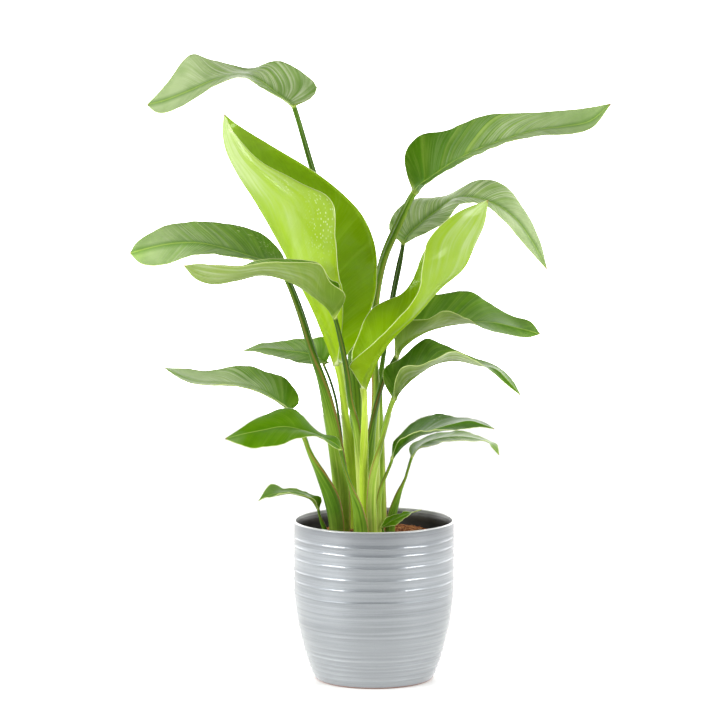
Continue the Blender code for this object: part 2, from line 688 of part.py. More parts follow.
# Coir: fills the nursery pot, lumpy on top, with a plain hole for each stalk
rng = np.random.default_rng(SEED)
lumps = rng.uniform(0, 2 * math.pi, (7, 2))
pace = rng.uniform(90, 260, 7)
heading = rng.uniform(0, 2 * math.pi, 7)


def soil_height(x, y):
    """Lumpy top of the coir, a little lower at its edge."""
    away = math.hypot(x, y) / NURSERY_TOP_RADIUS
    value = SOIL_TOP - 2.5 * MM * away ** 4
    for k in range(7):
        ahead = x * math.cos(heading[k]) + y * math.sin(heading[k])
        value += SOIL_LUMP / 4 * math.sin(pace[k] * ahead + lumps[k, 0])
    return value


bottom = floor + NURSERY_WALL + GAP
soil_foot = NURSERY_FOOT_RADIUS - NURSERY_WALL - 2 * GAP
soil_rim = NURSERY_TOP_RADIUS - NURSERY_WALL - 2 * GAP - lean * 3 * MM
points = [(0.0, 0.0, bottom)]
for radius, height in ((soil_foot - 2 * MM, bottom), (soil_foot, bottom + 3 * MM), (soil_rim, top - 3 * MM)):
    for k in range(SOIL_SEGMENTS):
        angle = 2 * math.pi * k / SOIL_SEGMENTS
        points.append((radius * math.cos(angle), radius * math.sin(angle), height))
for radius in (soil_rim - 1 * MM, 62 * MM, 50 * MM, 36 * MM, 20 * MM):
    for k in range(SOIL_SEGMENTS):
        angle = 2 * math.pi * k / SOIL_SEGMENTS
        x, y = radius * math.cos(angle), radius * math.sin(angle)
        points.append((x, y, soil_height(x, y)))
points.append((0.0, 0.0, soil_height(0.0, 0.0)))
faces = []
for k in range(SOIL_SEGMENTS):
    faces.append((0, 1 + (k + 1) % SOIL_SEGMENTS, 1 + k))
    for r in range(7):
        a = 1 + r * SOIL_SEGMENTS + k
        b = 1 + r * SOIL_SEGMENTS + (k + 1) % SOIL_SEGMENTS
        faces.append((a, b, b + SOIL_SEGMENTS, a + SOIL_SEGMENTS))
    last = 1 + 7 * SOIL_SEGMENTS
    faces.append((last + k, last + (k + 1) % SOIL_SEGMENTS, len(points) - 1))
coir = solid("coir", points, faces, COIR, round_sides=False)

for number, (foot, face) in enumerate(STALK_FEET):
    x, y, z, wide, thick = (value * MM for value in foot)
    turn = math.atan2(face[1], face[0]) - math.pi / 2
    points = []
    for height in (z - HOLE_CLEARANCE, SOIL_TOP + 20 * MM):
        for k in range(HOLE_SEGMENTS):
            angle = 2 * math.pi * k / HOLE_SEGMENTS
            grow = HOLE_CLEARANCE / math.cos(math.pi / HOLE_SEGMENTS)
            a = (wide * 1.03 + grow) * math.cos(angle)
            b = (thick * 1.03 + grow) * math.sin(angle)
            points.append((x + a * math.cos(turn) - b * math.sin(turn), y + a * math.sin(turn) + b * math.cos(turn), height))
    faces = [tuple(reversed(range(HOLE_SEGMENTS))), tuple(range(HOLE_SEGMENTS, 2 * HOLE_SEGMENTS))]
    for k in range(HOLE_SEGMENTS):
        n = (k + 1) % HOLE_SEGMENTS
        faces.append((k, n, n + HOLE_SEGMENTS, k + HOLE_SEGMENTS))
    cutter = solid("hole_%d" % number, points, faces, COIR)
    cutter.hide_render = True
    cutter.display_type = "WIRE"
    cut = coir.modifiers.new("hole_%d" % number, "BOOLEAN")
    cut.operation = "DIFFERENCE"
    cut.solver = "EXACT"
    cut.object = cutter
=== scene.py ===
import math

import bpy
import numpy as np
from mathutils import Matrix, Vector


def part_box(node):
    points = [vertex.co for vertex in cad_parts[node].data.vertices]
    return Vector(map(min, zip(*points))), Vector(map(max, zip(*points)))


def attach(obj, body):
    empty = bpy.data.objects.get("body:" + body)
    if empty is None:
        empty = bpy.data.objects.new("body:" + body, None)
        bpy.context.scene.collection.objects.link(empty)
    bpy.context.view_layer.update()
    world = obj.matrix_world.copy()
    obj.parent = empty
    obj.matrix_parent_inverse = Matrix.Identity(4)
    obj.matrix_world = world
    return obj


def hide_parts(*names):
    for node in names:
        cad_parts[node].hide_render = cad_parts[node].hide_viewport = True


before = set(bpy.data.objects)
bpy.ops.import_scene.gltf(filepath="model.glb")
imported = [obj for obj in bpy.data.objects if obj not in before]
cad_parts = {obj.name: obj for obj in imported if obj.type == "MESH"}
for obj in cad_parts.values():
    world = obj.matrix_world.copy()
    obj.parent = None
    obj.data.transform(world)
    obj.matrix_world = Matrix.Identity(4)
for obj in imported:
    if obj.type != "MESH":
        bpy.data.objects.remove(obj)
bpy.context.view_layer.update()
MM = 0.001

# Camera: the photograph's own view, three and a half metres off, level with the plant's top and
# looking a little down on it. The pot stands a little right of the picture's middle.
CAMERA_AWAY = 3.5
CAMERA_HEIGHT = 0.76
LOOK_DOWN = math.radians(6.2)
LENS = 147.5
POT_RIGHT = 12 / 724
camera = bpy.data.objects.new("camera", bpy.data.cameras.new("camera"))
camera.location = (0.0, -CAMERA_AWAY, CAMERA_HEIGHT)
camera.rotation_euler = (math.pi / 2 - LOOK_DOWN, 0.0, 0.0)
camera.data.lens = LENS
camera.data.shift_x = -POT_RIGHT
bpy.context.scene.collection.objects.link(camera)
bpy.context.scene.camera = camera


# Studio: a white room with a wide softbox low on each side, the left one stronger, which draw the
# short white streaks on the glaze. A weak one hangs overhead, and the wall behind is bright and low.
SOFTBOX_TURN = math.radians(60)
SOFTBOX_AWAY = 1.9
SOFTBOX_HEIGHT = 0.8
SOFTBOX_AIM = (0.0, 0.0, 0.3)
SOFTBOX_SIZE = (1.25, 0.6)
LEFT_POWER = 41
RIGHT_POWER = 31
OVERHEAD_PLACE = (0.0, -0.2, 2.3)
OVERHEAD_AIM = (0.0, 0.0, 0.4)
OVERHEAD_SIZE = (1.6, 1.6)
OVERHEAD_POWER = 4
BACKDROP_LIGHT = 3.4
ROOM_LIGHT = 0.38
FLOOR_SIZE = 5.0


def colour(text):
    """An sRGB hex colour as linear red, green, blue and alpha."""
    parts = [int(text[i:i + 2], 16) / 255 for i in (1, 3, 5)]
    return (*[c / 12.92 if c <= 0.04045 else ((c + 0.055) / 1.055) ** 2.4 for c in parts], 1.0)


def add(tree, kind, inputs=None, **settings):
    """Adds a node with its settings, and gives its inputs values or links.

    A Map Range node's inputs are 0 the value, 1 and 2 its range, and 3 and 4 the range that it is given.
    """
    made = tree.nodes.new(kind)
    for name, value in settings.items():
        setattr(made, name, value)
    for key, value in (inputs or {}).items():
        if isinstance(value, bpy.types.NodeSocket):
            tree.links.new(value, made.inputs[key])
        else:
            made.inputs[key].default_value = value
    return made


def softbox(name, place, aim, size, power):
    """A flat studio light that faces a point."""
    made = bpy.data.objects.new(name, bpy.data.lights.new(name, "AREA"))
    made.data.shape = "RECTANGLE"
    made.data.size, made.data.size_y = size
    made.data.energy = power
    made.location = place
    toward = np.array(aim) - np.array(place)
    flat = math.hypot(toward[0], toward[1])
    made.rotation_euler = (math.atan2(flat, -toward[2]), 0.0, math.atan2(-toward[0], toward[1]))
    bpy.context.scene.collection.objects.link(made)


for name, side, power in (("softbox_left", -1, LEFT_POWER), ("softbox_right", 1, RIGHT_POWER)):
    right_by = side * SOFTBOX_AWAY * math.sin(SOFTBOX_TURN)
    softbox(name, (right_by, -SOFTBOX_AWAY * math.cos(SOFTBOX_TURN), SOFTBOX_HEIGHT), SOFTBOX_AIM,
            SOFTBOX_SIZE, power)
softbox("softbox_top", OVERHEAD_PLACE, OVERHEAD_AIM, OVERHEAD_SIZE, OVERHEAD_POWER)

room = bpy.data.worlds.new("white_room")
room.use_nodes = True
tree = room.node_tree
heading = add(tree, "ShaderNodeTexCoord").outputs["Generated"]
way = add(tree, "ShaderNodeSeparateXYZ", {0: heading}).outputs
behind = add(tree, "ShaderNodeMapRange", {0: way[1], 1: -0.4, 2: 0.5}).outputs[0]
low = add(tree, "ShaderNodeMapRange", {0: way[2], 1: 0.15, 2: 0.85, 3: 1.0, 4: 0.0}).outputs[0]
band = add(tree, "ShaderNodeMath", {0: behind, 1: low}, operation="MULTIPLY").outputs[0]
lit = add(tree, "ShaderNodeMapRange", {0: band, 3: ROOM_LIGHT, 4: BACKDROP_LIGHT}).outputs[0]
seen = add(tree, "ShaderNodeLightPath").outputs["Is Camera Ray"]
strength = add(tree, "ShaderNodeMath", {0: lit, 1: seen}, operation="MAXIMUM").outputs[0]
tree.links.new(strength, tree.nodes["Background"].inputs["Strength"])
tree.nodes["Background"].inputs["Color"].default_value = colour("#FFFFFF")
bpy.context.scene.world = room
bpy.context.scene.view_settings.view_transform = "Standard"

# White floor paper: matt and almost even, so that it shows only a faint soft shadow.
floor_paper = bpy.data.materials.new("white_floor_paper")
floor_paper.use_nodes = True
tree = floor_paper.node_tree
shader = tree.nodes["Principled BSDF"]
shader.inputs["Roughness"].default_value = 0.55
where = add(tree, "ShaderNodeTexCoord").outputs["Object"]
mottle = add(tree, "ShaderNodeTexNoise", {"Vector": where, "Scale": 30.0})
tone = add(tree, "ShaderNodeValToRGB", {"Fac": mottle.outputs["Fac"]})
tone.color_ramp.elements[0].color = colour("#FAF9F7")
tone.color_ramp.elements[1].color = colour("#FFFEFC")
tree.links.new(tone.outputs["Color"], shader.inputs["Base Color"])
half = FLOOR_SIZE / 2
floor_mesh = bpy.data.meshes.new("floor")
corners = [(-half, -half, 0), (half, -half, 0), (half, half, 0), (-half, half, 0)]
floor_mesh.from_pydata(corners, [], [(0, 1, 2, 3)])
floor = bpy.data.objects.new("floor", floor_mesh)
floor_mesh.materials.append(floor_paper)
bpy.context.scene.collection.objects.link(floor)


# Cover pot: thrown earthenware under a silver-grey satin glaze, dark inside. Its ripples were left
# by the thrower's fingers, so they wander and differ in depth. It stands on the floor.
POT_HEIGHT = 191 * MM
POT_FOOT_RADIUS = 70.5 * MM
POT_WALL_RADIUS = 95.8 * MM
POT_SWELL_HEIGHT = 120 * MM
POT_FLARE = 1.2 * MM
POT_WALL = 4.5 * MM
POT_FLOOR = 6 * MM
POT_LIP = 1.9 * MM
POT_CRESTS = (171, 161.5, 147.5, 132.5, 120, 106, 97.5, 90, 80.5, 71, 63.5, 54, 47.5, 39.5, 33.5, 27,
              21.5, 15, 8.5)
SHALLOW_CRESTS = range(6, 14)
NARROW_CRESTS = range(12, 19)
NARROW = 0.62
CREST_INSET = 0.2 * MM
CREST_HEIGHT = 0.35 * MM
CREST_UPPER = 2.9 * MM
CREST_LOWER = 1.9 * MM
CREST_EDGE = 0.3 * MM
CREST_EDGE_WIDTH = 1.0 * MM
POT_ROW = 0.6 * MM
POT_AROUND = 240


def solid(name, points, faces, skin, numbers=None):
    """A closed, smooth-shaded mesh object with its material, and attributes on its points."""
    mesh = bpy.data.meshes.new(name)
    mesh.from_pydata(np.asarray(points).tolist(), [], faces)
    mesh.shade_smooth()
    for key, values in (numbers or {}).items():
        values = np.asarray(values, np.float32)
        kind, field = ("FLOAT", "value") if values.ndim == 1 else ("FLOAT_VECTOR", "vector")
        mesh.attributes.new(key, kind, "POINT").data.foreach_set(field, values.ravel())
    mesh.materials.append(skin)
    made = bpy.data.objects.new(name, mesh)
    bpy.context.scene.collection.objects.link(made)
    return made


def turned(name, profile, around, skin, numbers=None):
    """A profile of radius and height turned about the pot's axis. Its ends lie on the axis."""
    ring = np.arange(around) * 2 * math.pi / around
    inner = np.array(profile[1:-1])
    points = np.stack([inner[:, :1] * np.cos(ring), inner[:, :1] * np.sin(ring),
                       np.repeat(inner[:, 1:2], around, axis=1)], axis=-1).reshape(-1, 3)
    points = np.concatenate([[(0, 0, profile[0][1])], points, [(0, 0, profile[-1][1])]])
    last = len(points) - 1
    faces = []
    for k in range(around):
        n = (k + 1) % around
        faces.append((0, 1 + n, 1 + k))
        for r in range(len(inner) - 1):
            a, b = 1 + r * around + k, 1 + r * around + n
            faces.append((a, b, b + around, a + around))
        faces.append((last - around + k, last - around + n, last))
    spread = {}
    for key, values in (numbers or {}).items():
        spread[key] = np.concatenate([values[:1], np.repeat(values[1:-1], around), values[-1:]])
    return solid(name, points, faces, skin, spread)


def pot_radius(height):
    """Outer radius of the cover pot without its ripples: it swells from the foot, then stands upright."""
    rise = max(0.0, 1 - height / POT_SWELL_HEIGHT)
    flare = min(1.0, max(0.0, (height - (POT_HEIGHT - 8 * MM)) / (8 * MM)))
    return POT_WALL_RADIUS - (POT_WALL_RADIUS - POT_FOOT_RADIUS) * rise ** 2 + POT_FLARE * flare ** 2


def ripple(height):
    """How far the thrower's ridges stand out of the wall: rounded above, cut in sharply below."""
    out = 0.0
    for number, crest in enumerate(POT_CRESTS):
        above = height - crest * MM
        width = CREST_UPPER if above > 0 else CREST_LOWER
        width = width * (NARROW if number in NARROW_CRESTS else 1.0)
        depth = 0.65 + 0.15 * math.sin(2.1 * number) if number in SHALLOW_CRESTS else 1.0
        out += depth * CREST_HEIGHT * math.exp(-(above / width) ** 2)
        out += depth ** 2 * CREST_EDGE * math.exp(-(above / CREST_EDGE_WIDTH) ** 2)
    return out - CREST_INSET


def with_tree(made, tree, values):
    """Runs a Geometry Nodes tree on an object, with values for its named inputs, and keeps the plain mesh."""
    modifier = made.modifiers.new(tree.name, "NODES")
    modifier.node_group = tree
    for item in tree.interface.items_tree:
        if item.item_type == "SOCKET" and item.in_out == "INPUT" and item.name in values:
            modifier[item.identifier] = values[item.name]
    graph = bpy.context.evaluated_depsgraph_get()
    graph.update()
    mesh = bpy.data.meshes.new_from_object(made.evaluated_get(graph))
    made.modifiers.clear()
    made.data = mesh
    mesh.name = made.name
    return made


def new_tree(name, sizes):
    """An empty Geometry Nodes tree with named inputs for its sizes, and a material."""
    tree = bpy.data.node_groups.new(name, "GeometryNodeTree")
    tree.interface.new_socket("Geometry", in_out="INPUT", socket_type="NodeSocketGeometry")
    for key, start in sizes.items():
        kind = "NodeSocketInt" if isinstance(start, int) else "NodeSocketFloat"
        tree.interface.new_socket(key, in_out="INPUT", socket_type=kind).default_value = start
    tree.interface.new_socket("Material", in_out="INPUT", socket_type="NodeSocketMaterial")
    tree.interface.new_socket("Geometry", in_out="OUTPUT", socket_type="NodeSocketGeometry")
    start = add(tree, "NodeGroupInput")
    return tree, start.outputs


def finish_tree(tree, geometry, start):
    """Ends a tree in Realize Instances and Set Material."""
    real = add(tree, "GeometryNodeRealizeInstances", {"Geometry": geometry})
    made = add(tree, "GeometryNodeSetMaterial", {"Geometry": real.outputs[0], "Material": start["Material"]})
    add(tree, "NodeGroupOutput", {"Geometry": made.outputs[0]})


# Silver-grey satin glaze: clear gloss over a fine mottled grey, so it shows sharp short streaks of
# the softboxes on each ridge; the inside is dark and glossy, and the foot's edge is bare clay.
glaze = bpy.data.materials.new("silver_grey_satin_glaze")
glaze.use_nodes = True
tree = glaze.node_tree
shader = tree.nodes["Principled BSDF"]
shader.inputs["Coat Roughness"].default_value = 0.025
shader.inputs["IOR"].default_value = 1.52
where = add(tree, "ShaderNodeTexCoord").outputs["Object"]
inside = add(tree, "ShaderNodeAttribute", attribute_name="inside").outputs["Fac"]
metal = add(tree, "ShaderNodeMapRange", {"Value": inside, "To Min": 0.45, "To Max": 0.1}).outputs[0]
tree.links.new(metal, shader.inputs["Metallic"])
coat = add(tree, "ShaderNodeMapRange", {"Value": inside, "To Min": 0.85, "To Max": 0.1}).outputs[0]
tree.links.new(coat, shader.inputs["Coat Weight"])
SPECK_SIZE = 1.1 * MM
BRUSH_WIDTH = 2.2 * MM
specks = add(tree, "ShaderNodeTexNoise", {"Vector": where, "Scale": 1 / SPECK_SIZE, "Detail": 2.0})
level = add(tree, "ShaderNodeVectorMath", {0: where, 1: (6.0, 6.0, 1 / BRUSH_WIDTH)}, operation="MULTIPLY")
brushed = add(tree, "ShaderNodeTexNoise", {"Vector": level.outputs[0], "Scale": 1.0, "Detail": 3.0})
cloud = add(tree, "ShaderNodeTexNoise", {"Vector": where, "Scale": 22.0, "Detail": 2.0})
banded = add(tree, "ShaderNodeMapRange", {0: brushed.outputs["Fac"], 1: 0.3, 2: 0.7}).outputs[0]
tones = []
for share, dark, light in ((banded, "#6E7378", "#94999D"), (specks.outputs["Fac"], "#6E7378", "#94999D"),
                           (cloud.outputs["Fac"], "#2C2A28", "#3C3A37")):
    tones.append(add(tree, "ShaderNodeMix", {"Factor": share, 6: colour(dark), 7: colour(light)},
                     data_type="RGBA").outputs[2])
both = add(tree, "ShaderNodeMix", {"Factor": 0.35, 6: tones[0], 7: tones[1]}, data_type="RGBA").outputs[2]
both = add(tree, "ShaderNodeMix", {"Factor": inside, 6: both, 7: tones[2]}, data_type="RGBA").outputs[2]

# The glaze pales to the foot and drains off the foot's edge to bare clay. A painted shade darkens the
# outside under the rim, a painted highlight lightens the lip's top, and the top of the inside wall is paler.
# Each row is a band of height in millimetres, its share at both ends, what the inside does, and a tone.
rise = add(tree, "ShaderNodeSeparateXYZ", {0: where}).outputs[2]
top = POT_HEIGHT / MM
for start, end, low, high, on_inside, tone in (
        (15, 110, 0.22, 0.0, None, "#C6CACC"),
        # painted shade under the rim
        (top - 34, top - 6, 0.0, 0.45, "SUBTRACT", "#54585D"),
        # painted highlight along the lip's top
        (top - 1.5, top - 0.5, 0.0, 0.75, None, "#DCDCDA"),
        (top - 4.4, top - 3.6, 0.0, 0.35, "MULTIPLY", "#A8AAAB"),
        (0.9, 2.2, 1.0, 0.0, None, "#8A5A44")):
    share = add(tree, "ShaderNodeMapRange", {0: rise, 1: start * MM, 2: end * MM, 3: low, 4: high}).outputs[0]
    if on_inside:
        share = add(tree, "ShaderNodeMath", {0: share, 1: inside},
                    operation=on_inside, use_clamp=True).outputs[0]
    both = add(tree, "ShaderNodeMix", {"Factor": share, 6: both, 7: colour(tone)},
               data_type="RGBA").outputs[2]
tree.links.new(both, shader.inputs["Base Color"])
rough = add(tree, "ShaderNodeMapRange", {"Value": specks.outputs["Fac"], "To Min": 0.3, "To Max": 0.42})
tree.links.new(rough.outputs[0], shader.inputs["Roughness"])
grit = add(tree, "ShaderNodeMix", {"Factor": 0.8, 2: specks.outputs["Fac"], 3: brushed.outputs["Fac"]},
           data_type="FLOAT")
bump = add(tree, "ShaderNodeBump", {"Height": grit.outputs[0], "Strength": 0.4, "Distance": 0.2 * MM})
tree.links.new(bump.outputs["Normal"], shader.inputs["Normal"])

profile = [(0.0, 0.0), (POT_FOOT_RADIUS - 4 * MM, 0.0), (POT_FOOT_RADIUS - 2 * MM, 0.0)]
profile.append((POT_FOOT_RADIUS - 0.9 * MM, 0.35 * MM))
for height in np.arange(1.2 * MM, POT_HEIGHT - 2.2 * MM, POT_ROW):
    profile.append((pot_radius(height) + ripple(height), height))
on_wall = len(profile)
for turn in np.linspace(0, math.pi, 11):
    profile.append((pot_radius(POT_HEIGHT) - POT_LIP + POT_LIP * math.cos(turn),
                    POT_HEIGHT - POT_LIP + POT_LIP * math.sin(turn)))
for height in np.arange(POT_HEIGHT - 6 * MM, 14 * MM, -4 * MM):
    profile.append((pot_radius(height) - POT_WALL + 0.25 * MM * math.sin(height / (1.7 * MM)), height))
for turn in np.linspace(0, math.pi / 2, 6):
    profile.append((pot_radius(POT_FLOOR) - POT_WALL - 6 * MM + 5 * MM * math.cos(turn),
                    POT_FLOOR + 5 * MM - 5 * MM * math.sin(turn)))
profile.append((0.0, POT_FLOOR))
heights = np.array([height for _, height in profile])
outer_wall = np.where(np.arange(len(profile)) < on_wall, 1.0, 0.0)
outer_wall = outer_wall * np.clip(heights / (10 * MM), 0, 1)
outer_wall = outer_wall * np.clip((POT_HEIGHT - 3 * MM - heights) / (12 * MM), 0, 1)
inner_wall = np.where(np.arange(len(profile)) > on_wall + 7, 1.0, 0.0)
pot = turned("pot_glazed", profile, POT_AROUND, glaze, {"outside": outer_wall, "inside": inner_wall})

# The ridges wander up and down and fade in and out round the pot.
FURTHEST_WANDER = 4 * MM
tree, start = new_tree("Thrown ripples", {"Wander": 1.0, "Unevenness": 0.1, "Length": 60.0, "Seed": 4})
spot = add(tree, "GeometryNodeInputPosition").outputs[0]
weight = add(tree, "GeometryNodeInputNamedAttribute", {"Name": "outside"}, data_type="FLOAT").outputs[0]
pace = add(tree, "ShaderNodeMath", {0: 1000.0, 1: start["Length"]}, operation="DIVIDE")
wander = add(tree, "ShaderNodeTexNoise",
             {"Vector": spot, "W": start["Seed"], "Scale": pace.outputs[0], "Detail": 1.0},
             noise_dimensions="4D")
centred = add(tree, "ShaderNodeVectorMath", {0: wander.outputs["Color"], 1: (-0.5, -0.5, -0.5)},
              operation="ADD")
split = add(tree, "ShaderNodeSeparateXYZ", {0: centred.outputs[0]}).outputs
moves = []
for way, amount in ((split[2], start["Wander"]), (split[0], start["Unevenness"])):
    way = add(tree, "ShaderNodeMath", {0: way, 1: amount}, operation="MULTIPLY").outputs[0]
    moves.append(add(tree, "ShaderNodeMath", {0: way, 1: FURTHEST_WANDER}, operation="MULTIPLY").outputs[0])
radial = add(tree, "ShaderNodeVectorMath", {0: spot, 1: (1.0, 1.0, 0.0)}, operation="MULTIPLY")
radial = add(tree, "ShaderNodeVectorMath", {0: radial.outputs[0]}, operation="NORMALIZE")
radial = add(tree, "ShaderNodeVectorMath", {0: radial.outputs[0], "Scale": moves[1]}, operation="SCALE")
lift = add(tree, "ShaderNodeCombineXYZ", {2: moves[0]})
shift = add(tree, "ShaderNodeVectorMath", {0: radial.outputs[0], 1: lift.outputs[0]}, operation="ADD")
shift = add(tree, "ShaderNodeVectorMath", {0: shift.outputs[0], "Scale": weight}, operation="SCALE")
moved = add(tree, "GeometryNodeSetPosition", {"Geometry": start["Geometry"], "Offset": shift.outputs[0]})
finish_tree(tree, moved.outputs[0], start)
with_tree(pot, tree, {"Wander": 1.0, "Unevenness": 0.35, "Length": 60.0, "Seed": 4, "Material": glaze})
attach(pot, "root")
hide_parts("cover_pot")


# Nursery pot: thin black polypropylene, injection moulded with a turned-out lip. It stands loose on
# the cover pot's floor, and only its lip shows, as a dark ring round the coir.
NURSERY_FOOT_RADIUS = 60 * MM
NURSERY_TOP_RADIUS = 75 * MM
NURSERY_HEIGHT = 166.5 * MM
NURSERY_WALL = 1.3 * MM
NURSERY_LIP = 2 * MM
NURSERY_FLOOR = POT_FLOOR + 0.3 * MM
nursery_top = NURSERY_FLOOR + NURSERY_HEIGHT
lean = (NURSERY_TOP_RADIUS - NURSERY_FOOT_RADIUS) / NURSERY_HEIGHT

# Black moulded polypropylene: a dull soft sheen, browned here and there by dust from the coir.
black_plastic = bpy.data.materials.new("black_moulded_polypropylene")
black_plastic.use_nodes = True
tree = black_plastic.node_tree
shader = tree.nodes["Principled BSDF"]
shader.inputs["IOR"].default_value = 1.49
where = add(tree, "ShaderNodeTexCoord").outputs["Object"]
GRAIN = 0.8 * MM
grain = add(tree, "ShaderNodeTexNoise", {"Vector": where, "Scale": 1 / GRAIN, "Detail": 2.0})
dust = add(tree, "ShaderNodeTexNoise", {"Vector": where, "Scale": 60.0, "Detail": 4.0})
tone = add(tree, "ShaderNodeValToRGB", {"Fac": dust.outputs["Fac"]})
tone.color_ramp.elements[0].position = 0.45
tone.color_ramp.elements[0].color = colour("#17171A")
tone.color_ramp.elements[1].position = 0.8
tone.color_ramp.elements[1].color = colour("#3A342F")
tree.links.new(tone.outputs["Color"], shader.inputs["Base Color"])
rough = add(tree, "ShaderNodeMapRange", {"Value": dust.outputs["Fac"], "To Min": 0.4, "To Max": 0.7})
tree.links.new(rough.outputs[0], shader.inputs["Roughness"])
bump = add(tree, "ShaderNodeBump", {"Height": grain.outputs["Fac"], "Strength": 0.4, "Distance": 0.15 * MM})
tree.links.new(bump.outputs["Normal"], shader.inputs["Normal"])

profile = [(0.0, NURSERY_FLOOR), (NURSERY_FOOT_RADIUS - 2.5 * MM, NURSERY_FLOOR),
           (NURSERY_FOOT_RADIUS - 0.7 * MM, NURSERY_FLOOR + 0.6 * MM),
           (NURSERY_FOOT_RADIUS, NURSERY_FLOOR + 2.4 * MM)]
for share in np.linspace(0.05, 1, 16):
    height = NURSERY_FLOOR + share * (NURSERY_HEIGHT - 7.6 * MM)
    profile.append((NURSERY_FOOT_RADIUS + lean * (height - NURSERY_FLOOR), height))
profile.append((NURSERY_TOP_RADIUS + NURSERY_LIP - 0.4 * MM, nursery_top - 7 * MM))
profile.append((NURSERY_TOP_RADIUS + NURSERY_LIP, nursery_top - 6.4 * MM))
profile.append((NURSERY_TOP_RADIUS + NURSERY_LIP, nursery_top - 1.4 * MM))
for turn in np.linspace(0, math.pi / 2, 6)[1:]:
    profile.append((NURSERY_TOP_RADIUS + NURSERY_LIP - 1.4 * MM * (1 - math.cos(turn)),
                    nursery_top - 1.4 * MM * (1 - math.sin(turn))))
profile.append((NURSERY_TOP_RADIUS - NURSERY_WALL + 0.8 * MM, nursery_top))
profile.append((NURSERY_TOP_RADIUS - NURSERY_WALL, nursery_top - 0.8 * MM))
for share in np.linspace(0.94, 0.03, 14):
    height = NURSERY_FLOOR + share * NURSERY_HEIGHT
    profile.append((NURSERY_FOOT_RADIUS - NURSERY_WALL + lean * (height - NURSERY_FLOOR), height))
profile.append((NURSERY_FOOT_RADIUS - NURSERY_WALL - 2 * MM, NURSERY_FLOOR + NURSERY_WALL))
profile.append((0.0, NURSERY_FLOOR + NURSERY_WALL))
nursery = turned("nursery_pot_moulded", profile, 160, black_plastic)
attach(nursery, "root")
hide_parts("nursery_pot")


# Coir: shredded coconut husk, pressed into the nursery pot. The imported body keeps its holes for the
# stalks and is dressed here; loose fibres and crumbs lie all over its top and stick up here and there.
FIBRE_LENGTH = 9.0
FIBRE_WIDTH = 0.3
CRUMB_SIZE = 2.2
CRUMB_DENTS = 1.4 * MM
FIBRES_PER_M2 = 150000.0
CRUMBS_PER_M2 = 90000.0
STRAYS_PER_M2 = 3000.0
COIR_AROUND = 64
COIR_RINGS = ((70, 3), (66, 1.6), (50, 0.6), (25, 0))

# Shredded coconut husk: dry and matt, its colour darkest where its bump sinks, as painted shade in the gaps,
# with pale ends where fibres are torn.
coir_husk = bpy.data.materials.new("shredded_coconut_husk")
coir_husk.use_nodes = True
tree = coir_husk.node_tree
shader = tree.nodes["Principled BSDF"]
shader.inputs["Roughness"].default_value = 0.9
shader.inputs["Specular IOR Level"].default_value = 0.2
where = add(tree, "ShaderNodeTexCoord").outputs["Object"]
tone_here = add(tree, "ShaderNodeAttribute", attribute_name="tone").outputs["Fac"]
# This noise both sinks the bump and darkens the colour there: painted shade in the gaps.
clumps = add(tree, "ShaderNodeTexNoise",
             {"Vector": where, "Scale": 1 / (2.4 * MM), "Detail": 6.0, "Roughness": 0.7})
mixed = add(tree, "ShaderNodeMath", {0: clumps.outputs["Fac"], 1: tone_here}, operation="ADD")
husk = add(tree, "ShaderNodeValToRGB", {"Fac": mixed.outputs[0]})
husk.color_ramp.elements[0].position = 0.3
husk.color_ramp.elements[0].color = colour("#2C1308")
husk.color_ramp.elements[1].position = 0.95
husk.color_ramp.elements[1].color = colour("#DEA06E")
middle = husk.color_ramp.elements.new(0.55)
middle.color = colour("#8A4322")
tree.links.new(husk.outputs["Color"], shader.inputs["Base Color"])
bump = add(tree, "ShaderNodeBump", {"Height": clumps.outputs["Fac"], "Strength": 1.0, "Distance": 0.8 * MM})
tree.links.new(bump.outputs["Normal"], shader.inputs["Normal"])
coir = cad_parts["coir"]
coir.data.materials.clear()
coir.data.materials.append(coir_husk)

ring = np.arange(COIR_AROUND) * 2 * math.pi / COIR_AROUND
SOIL_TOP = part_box("coir")[1].z - 0.6 * MM
points = [(radius * MM * math.cos(a), radius * MM * math.sin(a), SOIL_TOP - drop * MM)
          for radius, drop in COIR_RINGS for a in ring]
points.append((0, 0, SOIL_TOP))
last = len(points) - 1
faces = []
for r in range(0, last - COIR_AROUND, COIR_AROUND):
    for k in range(COIR_AROUND):
        n = (k + 1) % COIR_AROUND
        faces.append((r + k, r + n, r + COIR_AROUND + n, r + COIR_AROUND + k))
for k in range(COIR_AROUND):
    faces.append((last - COIR_AROUND + k, last - COIR_AROUND + (k + 1) % COIR_AROUND, last))
fibres = solid("coir_fibres", points, faces, coir_husk)

tree, start = new_tree("Loose fibres", {"Fibre length": FIBRE_LENGTH, "Fibre width": FIBRE_WIDTH,
                                        "Crumb size": CRUMB_SIZE,
                                        "Fibres per square metre": 1.0, "Crumbs per square metre": 1.0,
                                        "Strays per square metre": 1.0, "Seed": 1})
half = {key: add(tree, "ShaderNodeMath", {0: start[key], 1: MM / 2}, operation="MULTIPLY").outputs[0]
        for key in ("Fibre length", "Fibre width", "Crumb size")}
curled = {"Resolution": 5}
for key, place in (("Start", (-1.0, 0.0, 0.0)), ("Start Handle", (0.0, 0.55, 0.5)),
                   ("End Handle", (0.0, -0.44, 0.3)), ("End", (1.0, 0.0, -0.15))):
    curled[key] = add(tree, "ShaderNodeVectorMath", {0: place, "Scale": half["Fibre length"]},
                      operation="SCALE").outputs[0]
curl = add(tree, "GeometryNodeCurvePrimitiveBezierSegment", curled, mode="POSITION")
rim = add(tree, "GeometryNodeCurvePrimitiveCircle", {"Resolution": 3, "Radius": half["Fibre width"]},
          mode="RADIUS")
strand = add(tree, "GeometryNodeCurveToMesh",
             {"Curve": curl.outputs[0], "Profile Curve": rim.outputs[0], "Fill Caps": True})
crumb = add(tree, "GeometryNodeMeshIcoSphere", {"Radius": half["Crumb size"], "Subdivisions": 2})
